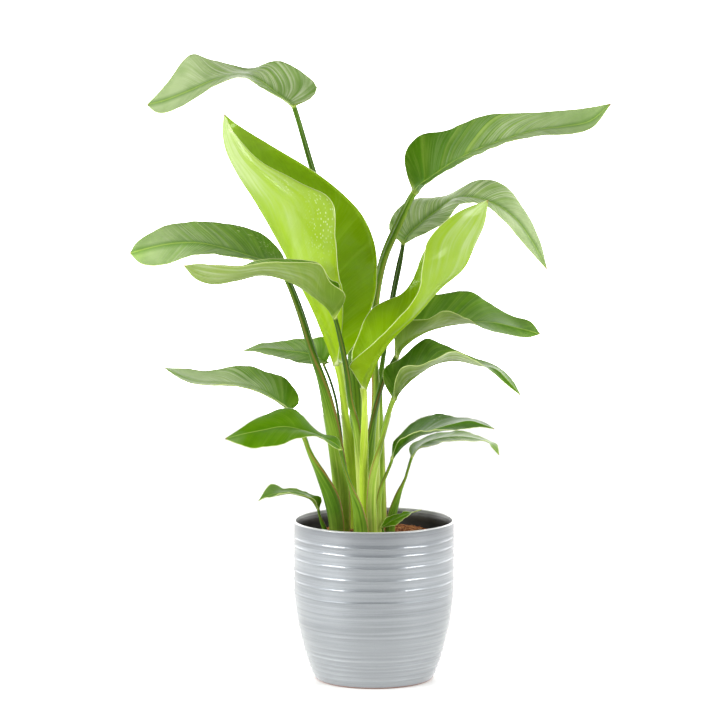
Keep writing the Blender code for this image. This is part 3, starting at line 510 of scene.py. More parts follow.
dents = add(tree, "ShaderNodeTexNoise", {"Scale": 900.0})
dent = add(tree, "ShaderNodeVectorMath", {0: dents.outputs["Color"], 1: (0.5, 0.5, 0.5)},
           operation="SUBTRACT")
dent = add(tree, "ShaderNodeVectorMath", {0: dent.outputs[0], "Scale": CRUMB_DENTS}, operation="SCALE")
crumb = add(tree, "GeometryNodeSetPosition", {"Geometry": crumb.outputs[0], "Offset": dent.outputs[0]})
parts = []
for number, (shape, density, tilt, smallest, largest) in enumerate((
        (strand.outputs[0], start["Fibres per square metre"], 0.5, 0.45, 1.25),
        (crumb.outputs[0], start["Crumbs per square metre"], 3.1, 0.35, 1.1),
        (strand.outputs[0], start["Strays per square metre"], 1.5, 1.0, 1.9))):
    own_seed = add(tree, "ShaderNodeMath", {0: start["Seed"], 1: float(number)}, operation="ADD").outputs[0]
    dots = add(tree, "GeometryNodeDistributePointsOnFaces",
               {"Mesh": start["Geometry"], "Density": density, "Seed": own_seed}, distribute_method="RANDOM")
    spin = add(tree, "FunctionNodeRandomValue",
               {0: (-tilt, -tilt, 0.0), 1: (tilt, tilt, 6.28), "Seed": own_seed}, data_type="FLOAT_VECTOR")
    size = add(tree, "FunctionNodeRandomValue",
               {2: smallest, 3: largest, "Seed": own_seed}, data_type="FLOAT")
    laid = add(tree, "GeometryNodeInstanceOnPoints",
               {"Points": dots.outputs[0], "Instance": shape, "Rotation": spin.outputs[0],
                "Scale": size.outputs[1]})
    shade = add(tree, "FunctionNodeRandomValue", {2: -0.4, 3: 0.5, "Seed": own_seed}, data_type="FLOAT")
    toned = add(tree, "GeometryNodeStoreNamedAttribute",
                {"Geometry": laid.outputs[0], "Name": "tone", "Value": shade.outputs[1]},
                data_type="FLOAT", domain="INSTANCE")
    parts.append(toned.outputs[0])
joined = add(tree, "GeometryNodeJoinGeometry")
for part in parts:
    tree.links.new(part, joined.inputs[0])
finish_tree(tree, joined.outputs[0], start)
with_tree(fibres, tree, {"Fibre length": FIBRE_LENGTH, "Fibre width": FIBRE_WIDTH, "Crumb size": CRUMB_SIZE,
                         "Fibres per square metre": FIBRES_PER_M2, "Crumbs per square metre": CRUMBS_PER_M2,
                         "Strays per square metre": STRAYS_PER_M2, "Seed": 3, "Material": coir_husk})
fibres.data.shade_smooth()
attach(fibres, "root")


# Leaves: each is a thin waxy blade with a rib that stands out below, on a fleshy stalk that widens to
# a sheath at its foot and grows up out of the coir. All sixteen are made alike, from a few places
# along each.
BLADE_HALF_THICK = 0.3 * MM
BLADE_ROW = 1.7 * MM
BLADE_COLUMNS = 26
COLUMN_SPREAD = 1.45
FEWEST_ROWS = 40
TIP_HALF_WIDTH = 0.8 * MM
RIB_END = 0.35 * MM
RIB_SWELL = 0.1
RIB_GROOVE = 0.35 * MM
RIB_GROOVE_WIDTH = 1.3 * MM
RIB_EASED = 3.5 * MM
RIB_ROUNDS = 10
RIB_LEVEL = 2 * MM
VEIN_ANGLE = math.radians(50)
VEIN_CURVE = 1.1
MOST_LEAN = 0.8
PACKED_LEAN = 0.07
EDGE_WAVE = 1.3 * MM
EDGE_WAVES = 2.5
EDGE_RUFFLE = 0.5 * MM
RUFFLE_PACES = (5.3, 9.1, 15.7)
STALK_ROW = 2.6 * MM
STALK_AROUND = 28
FLAT_BACK = 0.8
CHANNEL_DEPTH = 0.45
CHANNEL_FACES = (0.0, 1.0, 0.0)
COLLAR_TUCK = 1.2 * MM
LONG_LINES = 9.0
LINE_SLANT = 4.0
leaf_rng = np.random.default_rng(16)


def unit(v):
    """Vectors of length one."""
    return v / np.maximum(np.linalg.norm(v, axis=-1, keepdims=True), 1e-9)


def knots(points):
    """Where the given points lie along the smooth line, from 0 to 1."""
    s = np.concatenate([[0.0], np.cumsum(np.linalg.norm(np.diff(points[:, :3], axis=0), axis=1) ** 0.75)])
    return s / s[-1]


def smooth(points, where, upright=0):
    """A smooth line through the points; the first so many spans keep straight."""
    s = knots(points)
    rise = np.diff(points, axis=0) / np.diff(s)[:, None]
    slope = np.concatenate([rise[:1], rise])
    for i in range(1, len(points) - 1):
        slope[i] = (rise[i - 1] * (s[i + 1] - s[i]) + rise[i] * (s[i] - s[i - 1])) / (s[i + 1] - s[i - 1])
    for i in range(upright):
        slope[i + 1] = slope[0]
    i = np.clip(np.searchsorted(s, where, side="right") - 1, 0, len(s) - 2)
    h = (s[i + 1] - s[i])[..., None]
    f = ((where - s[i]) / (s[i + 1] - s[i]))[..., None]
    a = (2 * f ** 3 - 3 * f ** 2 + 1) * points[i] + (f ** 3 - 2 * f ** 2 + f) * h * slope[i]
    b = (3 * f ** 2 - 2 * f ** 3) * points[i + 1] + (f ** 3 - f ** 2) * h * slope[i + 1]
    return a + b


# Side veins leave the rib slantwise and run to the edge. The blade is pleated along the stronger
# ones, and the tree keeps how near each point is to one, for the painted shade and highlight in the colour.
VEIN_DRIFT_PACE = 0.045
VEIN_DRIFT = 4.0
FLAT_AT_RIB = 7.0
FLAT_AT_EDGE = 5.0
relief, start = new_tree("Side veins", {"Strong spacing": 15.0, "Strong depth": 0.6, "Fine spacing": 3.4,
                                        "Fine depth": 0.12, "Unevenness": 0.5, "Seed": 1})
kept_at = {}
for key in ("place", "upward", "flow"):
    kept_at[key] = add(relief, "GeometryNodeInputNamedAttribute", {"Name": key},
                       data_type="FLOAT_VECTOR").outputs[0]
spot = add(relief, "ShaderNodeSeparateXYZ", {0: kept_at["place"]}).outputs
station = add(relief, "ShaderNodeSeparateXYZ", {0: kept_at["flow"]}).outputs[1]
pace = add(relief, "ShaderNodeMath", {0: spot[0], 1: VEIN_DRIFT_PACE}, operation="MULTIPLY").outputs[0]
own = add(relief, "ShaderNodeCombineXYZ", {0: start["Seed"]}).outputs[0]
drift = add(relief, "ShaderNodeTexNoise", {"Vector": own, "W": pace, "Scale": 1.0, "Detail": 1.0},
            noise_dimensions="4D").outputs["Fac"]
drift = add(relief, "ShaderNodeMath", {0: drift, 1: start["Unevenness"]}, operation="MULTIPLY").outputs[0]
drift = add(relief, "ShaderNodeMath", {0: drift, 1: VEIN_DRIFT}, operation="MULTIPLY").outputs[0]
phases = []
swings = []
for key in ("Strong", "Fine"):
    phase = add(relief, "ShaderNodeMath", {0: spot[0], 1: start[key + " spacing"]},
                operation="DIVIDE").outputs[0]
    phase = add(relief, "ShaderNodeMath", {0: phase, 1: drift}, operation="ADD").outputs[0]
    phases.append(phase)
    swing = add(relief, "ShaderNodeMath", {0: phase, 1: 0.5}, operation="PINGPONG").outputs[0]
    swings.append(add(relief, "ShaderNodeMath", {0: swing, 1: 2.0}, operation="MULTIPLY").outputs[0])

# From one strong vein to the next: a dark crease of painted shade just before it, and a pale crest of painted
# highlight with a finer line after.
turned_by = add(relief, "ShaderNodeMath", {0: phases[0]}, operation="FRACT").outputs[0]
beside = []
for first, last, low, high in ((0.62, 0.97, 0.0, 1.0), (0.1, 0.5, 0.45, 0.0), (0.02, 0.12, 0.55, 0.0)):
    band = add(relief, "ShaderNodeMapRange", {0: turned_by, 1: first, 2: last, 3: low, 4: high})
    beside.append(band.outputs[0])
crease = add(relief, "ShaderNodeMath", {0: beside[0], 1: 2.0}, operation="POWER").outputs[0]
pale = add(relief, "ShaderNodeMath", {0: beside[1], 1: beside[2]}, operation="ADD").outputs[0]

# The pleats flatten toward the rib and the edge, and along the leaf's last half toward its tip.
fade = add(relief, "ShaderNodeMapRange", {0: station, 1: 1.4, 2: 2.3, 3: 1.0, 4: 0.1}).outputs[0]
for distance, reach in ((spot[1], FLAT_AT_RIB), (spot[2], FLAT_AT_EDGE)):
    away = add(relief, "ShaderNodeMath", {0: distance, 1: 1 / reach}, operation="MULTIPLY").outputs[0]
    away = add(relief, "ShaderNodeMath", {0: away, 1: 0.5}, operation="ADD", use_clamp=True).outputs[0]
    fade = add(relief, "ShaderNodeMath", {0: fade, 1: away}, operation="MULTIPLY").outputs[0]
height = add(relief, "ShaderNodeMath", {0: swings[0], 1: 0.5}, operation="POWER").outputs[0]
height = add(relief, "ShaderNodeMath", {0: height, 1: start["Strong depth"]}, operation="MULTIPLY").outputs[0]
small = add(relief, "ShaderNodeMath", {0: swings[1], 1: start["Fine depth"]}, operation="MULTIPLY").outputs[0]
height = add(relief, "ShaderNodeMath", {0: height, 1: small}, operation="ADD").outputs[0]
height = add(relief, "ShaderNodeMath", {0: height, 1: fade}, operation="MULTIPLY").outputs[0]
sunk = add(relief, "ShaderNodeMath", {0: height, 1: -MM}, operation="MULTIPLY").outputs[0]
offset = add(relief, "ShaderNodeVectorMath", {0: kept_at["upward"], "Scale": sunk},
             operation="SCALE").outputs[0]
kept = add(relief, "GeometryNodeSetPosition", {"Geometry": start["Geometry"], "Offset": offset})
# From these the skin paints shade in each crease and a highlight on each crest.
for name, near in (("groove", crease), ("crest", pale)):
    faded = add(relief, "ShaderNodeMath", {0: near, 1: fade}, operation="MULTIPLY").outputs[0]
    faded = add(relief, "ShaderNodeMath", {0: faded, 1: start["Strong depth"]},
                operation="MULTIPLY").outputs[0]
    kept = add(relief, "GeometryNodeStoreNamedAttribute",
               {"Geometry": kept.outputs[0], "Name": name, "Value": faded}, data_type="FLOAT", domain="POINT")
finish_tree(relief, kept.outputs[0], start)


def leaf_skin(name, upper, deep, under, line, rib, rim="#C9D68A", shine=0.36, glow=0.2, wet=0.0):
    """A leaf's skin: waxy and glossy above, matt below, veined, lit through a little, with a grey coat of
    real wax and painted sheen.

    spot is the place along the veins, from the rib and from the edge, in millimetres. along is the share of
    the leaf from its collar, 1 on the upper side and 0 on the lower, and how much grey wax and painted sheen
    there is.
    """
    made = bpy.data.materials.new(name)
    made.use_nodes = True
    tree = made.node_tree
    tree.nodes.clear()
    read = {key: add(tree, "ShaderNodeAttribute", attribute_name=key).outputs
            for key in ("place", "state", "flow", "groove", "crest", "painted_shade", "glint_spots")}
    spot, along, flow = [add(tree, "ShaderNodeSeparateXYZ", {0: read[key]["Vector"]}).outputs
                         for key in ("place", "state", "flow")]
    where = add(tree, "ShaderNodeTexCoord").outputs["Object"]
    drawn = {}
    for key, wide, long in (("threads", 1.3, 60), ("bands", 8, 90)):
        drawn[key] = add(tree, "ShaderNodeVectorMath",
                         {0: read["place"]["Vector"], 1: (1 / wide, 1 / long, 0)},
                         operation="MULTIPLY").outputs[0]
    noise = {}
    for key, vector, scale, detail in (
            ("threads", drawn["threads"], 1.0, 2.0), ("bands", drawn["bands"], 1.0, 2.0),
            ("long lines", read["flow"]["Vector"], 1.0, 2.0), ("patches", where, 38.0, 3.0),
            ("cells", where, 1 / (0.9 * MM), 1.0)):
        noise[key] = add(tree, "ShaderNodeTexNoise",
                         {"Vector": vector, "Scale": scale, "Detail": detail}).outputs["Fac"]
    near_tip = add(tree, "ShaderNodeMapRange", {0: flow[1], 1: 1.6, 2: 2.4}).outputs[0]
    short_lines = add(tree, "ShaderNodeMix", {"Factor": near_tip, 2: noise["threads"], 3: 0.5},
                      data_type="FLOAT").outputs[0]
    lines = add(tree, "ShaderNodeMix", {"Factor": along[1], 2: noise["long lines"], 3: short_lines},
                data_type="FLOAT").outputs[0]
    mixed = add(tree, "ShaderNodeMix", {"Factor": 0.45, 2: noise["bands"], 3: noise["patches"]},
                data_type="FLOAT").outputs[0]
    mixed = add(tree, "ShaderNodeMapRange", {0: mixed, 1: 0.34, 2: 0.66}).outputs[0]
    # Pale dots of painted glints, where the specks lie.
    painted_glints = add(tree, "ShaderNodeTexVoronoi", {"Vector": read["place"]["Vector"], "Scale": 0.28})
    painted_glints = painted_glints.outputs["Distance"]

    # Each row is what is read, a range of it, and the share at that range's two ends.
    share = {}
    for key, value, first, last, low, high in (
            ("thin lines", short_lines, 0.5, 0.75, 0.0, 0.2),
            ("ragged", lines, 0.32, 0.6, 0.3, 1.2),
            ("worn", noise["patches"], 0.35, 0.65, 0.75, 1.1),
            # near-white streaks in the grey coat: painted sheen
            ("pale bloom", lines, 0.5, 0.7, 0.0, 1.0),
            # less painted crest highlight where the painted shade is strong
            ("light side", read["painted_shade"]["Fac"], 0.0, 1.0, 0.65, 0.15),
            ("above", along[1], 0.0, 1.0, 0.4, 1.0),
            # painted shade in a band beside the rib
            ("painted shade beside rib", spot[1], 1.5, 7.0, 0.6, 0.0),
            ("on rib", spot[1], 0.3, 1.0, 0.5, 0.0),
            ("collar", along[0], 0.0, 0.03, 0.8, 0.0),
            ("margin", spot[2], 0.25, 0.9, 1.0, 0.0),
            ("painted_glints", painted_glints, 0.18, 0.32, 1.0, 0.0),
            ("tip", along[0], 0.98, 0.995, 0.0, 1.0),
            ("roughness", along[1], 0.0, 1.0, 0.42, shine),
            ("uneven gloss", mixed, 0.0, 1.0, -0.04, 0.06)):
        eased = add(tree, "ShaderNodeMapRange", {0: value, 1: first, 2: last, 3: low, 4: high})
        share[key] = eased.outputs[0]
    for key, factor, *others in (("under", mixed, 0.35),
                                 ("bloom_and_sheen", share["ragged"], share["worn"], along[2]),
                                 ("crest", read["crest"]["Fac"], share["light side"], share["above"]),
                                 ("groove", read["groove"]["Fac"], share["above"], 0.5),
                                 ("painted shade beside rib", share["painted shade beside rib"], along[1]),
                                 ("painted_glints", share["painted_glints"], read["glint_spots"]["Fac"]),
                                 ("cells", noise["cells"], 0.25)):
        for other in others:
            factor = add(tree, "ShaderNodeMath", {0: factor, 1: other}, operation="MULTIPLY").outputs[0]
        share[key] = factor

    # The two sides' greens, then each layer that lies over them, from the deepest to the outermost: painted
    # shade toward the collar, thin lines, the grey coat of real wax and painted sheen, a painted highlight on
    # each pleat's crest, painted shade in its crease and beside the rib, then the rib, collar, margin,
    # painted glints and tip.
    sides = []
    for factor, one, other in ((share["under"], under, deep), (mixed, deep, upper),
                               (share["pale bloom"], "#AEBE90", "#D0D8B8")):
        sides.append(add(tree, "ShaderNodeMix", {"Factor": factor, 6: colour(one), 7: colour(other)},
                         data_type="RGBA").outputs[2])
    both = add(tree, "ShaderNodeMix", {"Factor": along[1], 6: sides[0], 7: sides[1]},
               data_type="RGBA").outputs[2]
    for factor, shade in ((read["painted_shade"]["Fac"], colour("#2E5A04")), (share["thin lines"], colour(line)),
                          (share["bloom_and_sheen"], sides[2]), (share["crest"], colour(line)),
                          (share["groove"], colour(deep)), (share["painted shade beside rib"], colour(deep)),
                          (share["on rib"], colour(rib)), (share["collar"], colour("#A9BC58")),
                          (share["margin"], colour(rim)), (share["painted_glints"], colour("#E2EEB0")),
                          (share["tip"], colour("#8A6A3C"))):
        both = add(tree, "ShaderNodeMix", {"Factor": factor, 6: both, 7: shade}, data_type="RGBA").outputs[2]

    rough = add(tree, "ShaderNodeMath", {0: share["roughness"], 1: share["uneven gloss"]},
                operation="ADD").outputs[0]
    height = add(tree, "ShaderNodeMath", {0: short_lines, 1: share["cells"]}, operation="ADD").outputs[0]
    bump = add(tree, "ShaderNodeBump", {"Height": height, "Strength": 0.6, "Distance": 0.2 * MM})
    bump = bump.outputs["Normal"]
    front = add(tree, "ShaderNodeBsdfPrincipled",
                {"Base Color": both, "Roughness": rough, "IOR": 1.42, "Normal": bump,
                 "Specular Tint": colour("#B4D040"), "Coat Weight": wet, "Coat Roughness": 0.12,
                 "Coat Normal": bump})
    light = add(tree, "ShaderNodeMix", {"Factor": 0.55, 6: both, 7: colour("#B4D414")},
                data_type="RGBA").outputs[2]
    through = add(tree, "ShaderNodeBsdfTranslucent", {"Color": light, "Normal": bump})
    mix = add(tree, "ShaderNodeMixShader", {0: glow, 1: front.outputs[0], 2: through.outputs[0]})
    add(tree, "ShaderNodeOutputMaterial", {0: mix.outputs[0]})
    return made


def stalk_skin(name, tones, foot, edge):
    """A stalk's skin: smooth and waxy, streaked along its length, paler to its foot, brown at its margins.

    along is the share of the stalk from its foot, how near a margin is, and the millimetres to its top.
    """
    made = bpy.data.materials.new(name)
    made.use_nodes = True
    tree = made.node_tree
    shader = tree.nodes["Principled BSDF"]
    grain = add(tree, "ShaderNodeAttribute", attribute_name="grain").outputs["Vector"]
    state = add(tree, "ShaderNodeAttribute", attribute_name="state").outputs["Vector"]
    tone = add(tree, "ShaderNodeAttribute", attribute_name="tone").outputs["Fac"]
    along = add(tree, "ShaderNodeSeparateXYZ", {0: state}).outputs
    noise = []
    for stretch, scale, detail in (((0.45, 0.45, 1 / 90), 1.0, 3.0), ((1.9, 1.9, 1 / 40), 1.0, 1.0),
                                   (None, 0.05, 2.0)):
        drawn = grain
        if stretch:
            drawn = add(tree, "ShaderNodeVectorMath", {0: grain, 1: stretch}, operation="MULTIPLY").outputs[0]
        noise.append(add(tree, "ShaderNodeTexNoise",
                         {"Vector": drawn, "Scale": scale, "Detail": detail}).outputs["Fac"])
    streaks, hairs, patches = noise

    # Each row is what is read, a range of it, and the share at that range's two ends.
    share = []
    for value, first, last, low, high in (
            (streaks, 0.35, 0.65, -0.12, 0.12), (hairs, 0.52, 0.7, 0.0, -0.1),
            (along[0], 0.0, 0.25, 0.6, 0.0), (along[2], 1.5, 3.5, 0.6, 0.0), (hairs, 0.0, 1.0, 0.36, 0.5)):
        eased = add(tree, "ShaderNodeMapRange", {0: value, 1: first, 2: last, 3: low, 4: high})
        share.append(eased.outputs[0])
    streaked, lined, footing, collar, rough = share
    mixed = add(tree, "ShaderNodeMath", {0: streaked, 1: lined}, operation="ADD").outputs[0]
    # Each stalk's tone, partly its own colour and partly painted shade and light for where it stands.
    mixed = add(tree, "ShaderNodeMath", {0: mixed, 1: tone}, operation="ADD", use_clamp=True).outputs[0]
    ramp = add(tree, "ShaderNodeValToRGB", {"Fac": mixed})
    ramp.color_ramp.elements[1].position = 1.0
    for place in (0.35, 0.7):
        ramp.color_ramp.elements.new(place)
    for stop, shade in zip(ramp.color_ramp.elements, tones):
        stop.color = colour(shade)
    both = ramp.outputs["Color"]
    layers = []
    for value, amount, shade in ((footing, 1.2, foot), (along[1], 2.4, edge)):
        patched = add(tree, "ShaderNodeMath", {0: patches, 1: amount}, operation="MULTIPLY").outputs[0]
        layers.append((add(tree, "ShaderNodeMath", {0: value, 1: patched}, operation="MULTIPLY",
                           use_clamp=True).outputs[0], shade))
    for factor, shade in (*layers, (collar, "#A9BC58")):
        both = add(tree, "ShaderNodeMix", {"Factor": factor, 6: both, 7: colour(shade)},
                   data_type="RGBA").outputs[2]
    tree.links.new(both, shader.inputs["Base Color"])
    tree.links.new(rough, shader.inputs["Roughness"])
    shader.inputs["IOR"].default_value = 1.4
    shader.inputs["Specular IOR Level"].default_value = 0.4
    shader.inputs["Specular Tint"].default_value = colour("#C4D880")
    shader.inputs["Subsurface Weight"].default_value = 0.05
    shader.inputs["Subsurface Radius"].default_value = (0.5, 1.0, 0.2)
    shader.inputs["Subsurface Scale"].default_value = 1.5 * MM
    bump = add(tree, "ShaderNodeBump", {"Height": hairs, "Strength": 0.6, "Distance": 0.2 * MM})
    tree.links.new(bump.outputs["Normal"], shader.inputs["Normal"])
    return made


def lean_of(table, u, side, length):
    """How far along the leaf, as a share of it, a side vein runs on from its root to the edge."""
    ahead = smooth(table, np.clip(u + 0.02, 0, 1))[:, :3]
    ahead = unit(ahead - smooth(table, np.clip(u - 0.02, 0, 1))[:, :3])
    line = smooth(table, u)
    way = line[:, 3:6] if side < 0 else line[:, 6:9]
    along = (way * ahead).sum(axis=1)
    straight = np.linalg.norm(way - along[:, None] * ahead, axis=1)
    lean = (straight / math.tan(VEIN_ANGLE) - along) / (length * MM)
    lean = np.clip(lean, 0.0, np.minimum(MOST_LEAN * (1 - u), 0.05 + 2.0 * u))
    for _ in range(max(4, len(u) // 5)):
        lean[1:-1] = (lean[:-2] + 2 * lean[1:-1] + lean[2:]) / 4
    lean = np.minimum.accumulate((lean + MOST_LEAN * u)[::-1])[::-1] - MOST_LEAN * u
    return np.clip(lean, 0.0, None) * np.clip(u / 0.06, 0, 1)


def blade(name, table, ends, upper, reach, belly, skin, veins, bloom_and_sheen, seed, painted_shade, specks):
    """A blade as a closed sheet: rib, edges, sag and waves, with the numbers its skin reads."""
    whole = np.linalg.norm(np.diff(table[:, :3], axis=0), axis=1).sum()
    rows = max(FEWEST_ROWS, int(whole / BLADE_ROW))
    length = whole / MM
    u = np.linspace(0.0, 1.0, rows + 1)[:, None]
    share = np.linspace(0.0, 1.0, BLADE_COLUMNS) ** COLUMN_SPREAD
    ruffle = leaf_rng.uniform(0, 2 * math.pi, (2, 3))
    halves = []
    for number, side in ((0, -1), (1, 1)):
        v = share[None, :]
        at = np.clip(u + lean_of(table, u[:, 0], side, length)[:, None] * v ** VEIN_CURVE, 0.0, 1.0)
        line = smooth(table, at)
        ahead = smooth(table, np.clip(at + 0.01, 0, 1))[..., :3]
        ahead = ahead - smooth(table, np.clip(at - 0.01, 0, 1))[..., :3]
        way = line[..., 3:6] if side < 0 else line[..., 6:9]
        width = np.linalg.norm(way, axis=-1)
        over = unit(np.cross(side * way, unit(ahead)))
        taper = width / np.linalg.norm(ends[number], axis=1).max()
        lift = -4 * v * (1 - v) * belly[number] * MM * taper ** 1.5
        packed = at - PACKED_LEAN * v * np.sin(math.pi * at)
        lift = lift + EDGE_WAVE * v ** 2 * np.sin(2 * math.pi * EDGE_WAVES * packed + number) * taper
        for k, pace in enumerate(RUFFLE_PACES):
            ruffled = v ** 4 * np.sin(2 * math.pi * pace * at + ruffle[number, k]) * taper
            lift = lift + EDGE_RUFFLE / (1 + k) * ruffled
        halves.append((line[..., :3] + way * v[..., None] + over * lift[..., None],
                       v * width, (1 - v) * width, at))
    sheet, from_rib, from_edge, station = [np.concatenate([one[:, :0:-1], other], axis=1)
                                           for one, other in zip(*halves)]
    middle = BLADE_COLUMNS - 1
    near = np.clip(1 - from_rib / RIB_EASED, 0, 1)[..., None]
    for _ in range(RIB_ROUNDS):
        mean = (sheet[:, :-2] + sheet[:, 2:]) / 2
        sheet[2:, 1:-1] += (near[2:, 1:-1] * (mean - sheet[:, 1:-1])[2:]) * 0.5
    normal = unit(np.cross(np.gradient(sheet, axis=1), np.gradient(sheet, axis=0)))
    close = np.clip(1 - from_rib / RIB_LEVEL, 0, 1)[..., None]
    normal = unit(normal * (1 - close) + normal[:, middle, None] * close)
    normal[0] = upper
    normal[-1] = normal[-2, middle]
    rib = (reach - RIB_END) * (1 - u) ** 1.15 + RIB_END
    round_rib = np.clip(1 - (from_rib / (1.2 * rib)) ** 2, 0, 1) ** 0.7
    swell = np.clip(1 - u / RIB_SWELL, 0, 1) ** 2
    groove = RIB_GROOVE * np.exp(-(from_rib / RIB_GROOVE_WIDTH) ** 2) * (1 - swell) * (1 - u)
    thick = np.clip(0.55 + from_edge / (2 * MM), 0, 1) * BLADE_HALF_THICK
    top = sheet + normal * (thick + 0.55 * rib * round_rib * swell - groove)[..., None]
    low = sheet - normal * (thick + rib * round_rib * 0.9)[..., None]
    count = 2 * BLADE_COLUMNS - 1
    points = np.concatenate([top.reshape(-1, 3), low.reshape(-1, 3)])
    under = (rows + 1) * count
    r, c = np.meshgrid(np.arange(rows), np.arange(count - 1), indexing="ij")
    a = (r * count + c).ravel()
    above = np.stack([a, a + 1, a + count + 1, a + count], 1)
    below = np.stack([a, a + count, a + count + 1, a + 1], 1) + under
    faces = np.concatenate([above, below]).tolist()
    for r in range(rows):
        a, b = r * count, r * count + count - 1
        faces.append((a, a + count, a + count + under, a + under))
        faces.append((b + count, b, b + under, b + count + under))
    for c in range(count - 1):
        a, b = c, rows * count + c
        faces.append((a + 1, a, a + under, a + 1 + under))
        faces.append((b, b + 1, b + 1 + under, b + under))
    side_of = np.sign(np.arange(count) - middle)[None, :]
    vein = np.broadcast_to(u * length + side_of * 4.0 + seed * 100, from_rib.shape)
    place = np.stack([vein, from_rib / MM, from_edge / MM], axis=-1).reshape(-1, 3)
    outward = LONG_LINES * np.concatenate([share[:0:-1], share])[None, :]
    outward = outward - LINE_SLANT * station + 20 * side_of
    flow = np.stack([outward, 3 * station, np.full_like(station, seed)], axis=-1).reshape(-1, 3)
    flat = np.broadcast_to(u, from_rib.shape).ravel()
    # The grey coat along the leaf, partly real wax and partly painted sheen.
    waxy = np.clip((flat - bloom_and_sheen[0]) / (bloom_and_sheen[1] - bloom_and_sheen[0]), 0, 1)
    state = [np.stack([flat, np.full_like(flat, face), amount * waxy], 1)
             for face, amount in ((1.0, bloom_and_sheen[2]), (0.0, bloom_and_sheen[3]))]
    # Where the pale dots of painted glints lie.
    glint_spots = np.zeros(len(points))
    for face, side, at, inward, reach_at, reach_in, amount in specks:
        near = np.exp(-((u - at) / reach_at) ** 2 - ((from_edge / MM - inward) / reach_in) ** 2)
        near = near * (side_of * side > 0)
        start = 0 if face > 0 else under
        glint_spots[start:start + near.size] += amount * near.ravel()
    # The painted shade runs from its collar value to its outer value over the leaf's first two fifths.
    made = solid(name, points, faces, skin,
                 {"place": np.concatenate([place, place]), "state": np.concatenate(state),
                  "upward": np.concatenate([normal.reshape(-1, 3)] * 2), "flow": np.concatenate([flow, flow]),
                  "painted_shade": np.tile(np.interp(flat, (0.0, 0.4), painted_shade), 2), "glint_spots": np.clip(glint_spots, 0, 1)})
    with_tree(made, relief, {"Strong spacing": veins[0], "Strong depth": veins[1], "Fine spacing": 3.4,
                             "Fine depth": veins[2], "Unevenness": 0.5, "Seed": seed, "Material": skin})
    made.data.attributes.remove(made.data.attributes["upward"])
    made.data.shade_smooth()
    return made


def stalk_of(name, rows, collar, into, upper, skin, tone, margin):
    """A stalk: flat-backed, channelled along its inner side, and widened to a sheath at its foot."""
    spine = np.array([row[:3] for row in rows], float) * MM
    sizes = np.array([row[3:] for row in rows], float) * MM
    line = np.concatenate([np.vstack([spine, [collar]]), np.vstack([sizes, [sizes[-1]]])], axis=1)
    marks = knots(line)
    length = np.linalg.norm(np.diff(line[:, :3], axis=0), axis=1).sum()
    where = np.concatenate([[0.0], np.linspace(marks[1], 1.0, max(10, int(length / STALK_ROW)))])
    path = smooth(line, where, upright=1)
    tangent = smooth(line, np.clip(where + 0.01, 0, 1), 1)[:, :3]
    tangent = unit(tangent - smooth(line, np.clip(where - 0.01, 0, 1), 1)[:, :3])
    tangent[0] = tangent[1] = (0.0, 0.0, 1.0)
    tangent[-1] = into
    turn = np.clip((where - marks[1]) / (1 - marks[1]), 0, 1)
    turn = (turn * turn * (3 - 2 * turn))[:, None]
    look = unit(np.array([CHANNEL_FACES]) * (1 - turn) + upper[None, :] * turn)
    look = unit(look - (look * tangent).sum(axis=1, keepdims=True) * tangent)
    side = np.cross(tangent, look)
    angle = np.arange(STALK_AROUND) * 2 * math.pi / STALK_AROUND
    wide, thick = path[:, 3:4], path[:, 4:5]
    x = wide * np.cos(angle)
    y = thick * np.where(np.sin(angle) > 0, FLAT_BACK, 1.0) * np.sin(angle)
    channel = CHANNEL_DEPTH * thick * np.exp(-(np.cos(angle) / 0.5) ** 2) * (np.sin(angle) > 0)
    y = y - channel * np.clip((1 - where) / 0.08, 0, 1)[:, None]
    points = path[:, None, :3] + x[..., None] * side[:, None] + y[..., None] * look[:, None]
    count = len(where)
    r, c = np.meshgrid(np.arange(count - 1), np.arange(STALK_AROUND), indexing="ij")
    a = (r * STALK_AROUND + c).ravel()
    b = (r * STALK_AROUND + (c + 1) % STALK_AROUND).ravel()
    faces = np.stack([a, b, b + STALK_AROUND, a + STALK_AROUND], 1).tolist()
    faces.append(tuple(reversed(range(STALK_AROUND))))
    faces.append(tuple(range((count - 1) * STALK_AROUND, count * STALK_AROUND)))
    steps = np.linalg.norm(np.diff(path[:, :3], axis=0), axis=1)
    run = np.concatenate([[0.0], np.cumsum(steps)])[:, None] / MM
    grain = np.stack(np.broadcast_arrays(x / MM, y / MM, run), axis=-1).reshape(-1, 3)
    rim = np.exp(-((np.sin(angle) + 0.25) / 0.15) ** 2) * (margin * np.cos(angle) > 0)
    browned = rim[None, :] * np.clip(1.5 - 1.5 * where, 0, 1)[:, None]
    state = np.stack(np.broadcast_arrays(where[:, None], browned, run[-1] - run), axis=-1).reshape(-1, 3)
    # The tone along the stalk: partly its own colour, partly painted shade and light.
    shade = np.repeat(np.interp(where, (0.3, 0.75), tone), STALK_AROUND)
    return solid(name, points.reshape(-1, 3), faces, skin, {"grain": grain, "state": state, "tone": shade})


# Waxy living leaf and stalk: mature ones mid green, young ones yellow-green, wetter and more see-through.
MATURE = leaf_skin("waxy_mature_leaf", "#608E04", "#437204", "#84983C", "#98B44C", "#A9C45C")
YOUNG = leaf_skin("waxy_young_leaf", "#94BC04", "#8CB200", "#9CBC1C", "#BAD850", "#C3DC68",
                  rim="#E6EEB0", shine=0.26, glow=0.3, wet=0.4)
STALK = stalk_skin("waxy_stalk", ("#1E3806", "#446814", "#7A9A2E", "#B0BE60"), "#A8A850", "#8E5A3C")
YOUNG_STALK = stalk_skin("waxy_young_stalk", ("#5E7C10", "#86A81C", "#A4BE38", "#C4D068"),
                         "#BCC058", "#B08058")


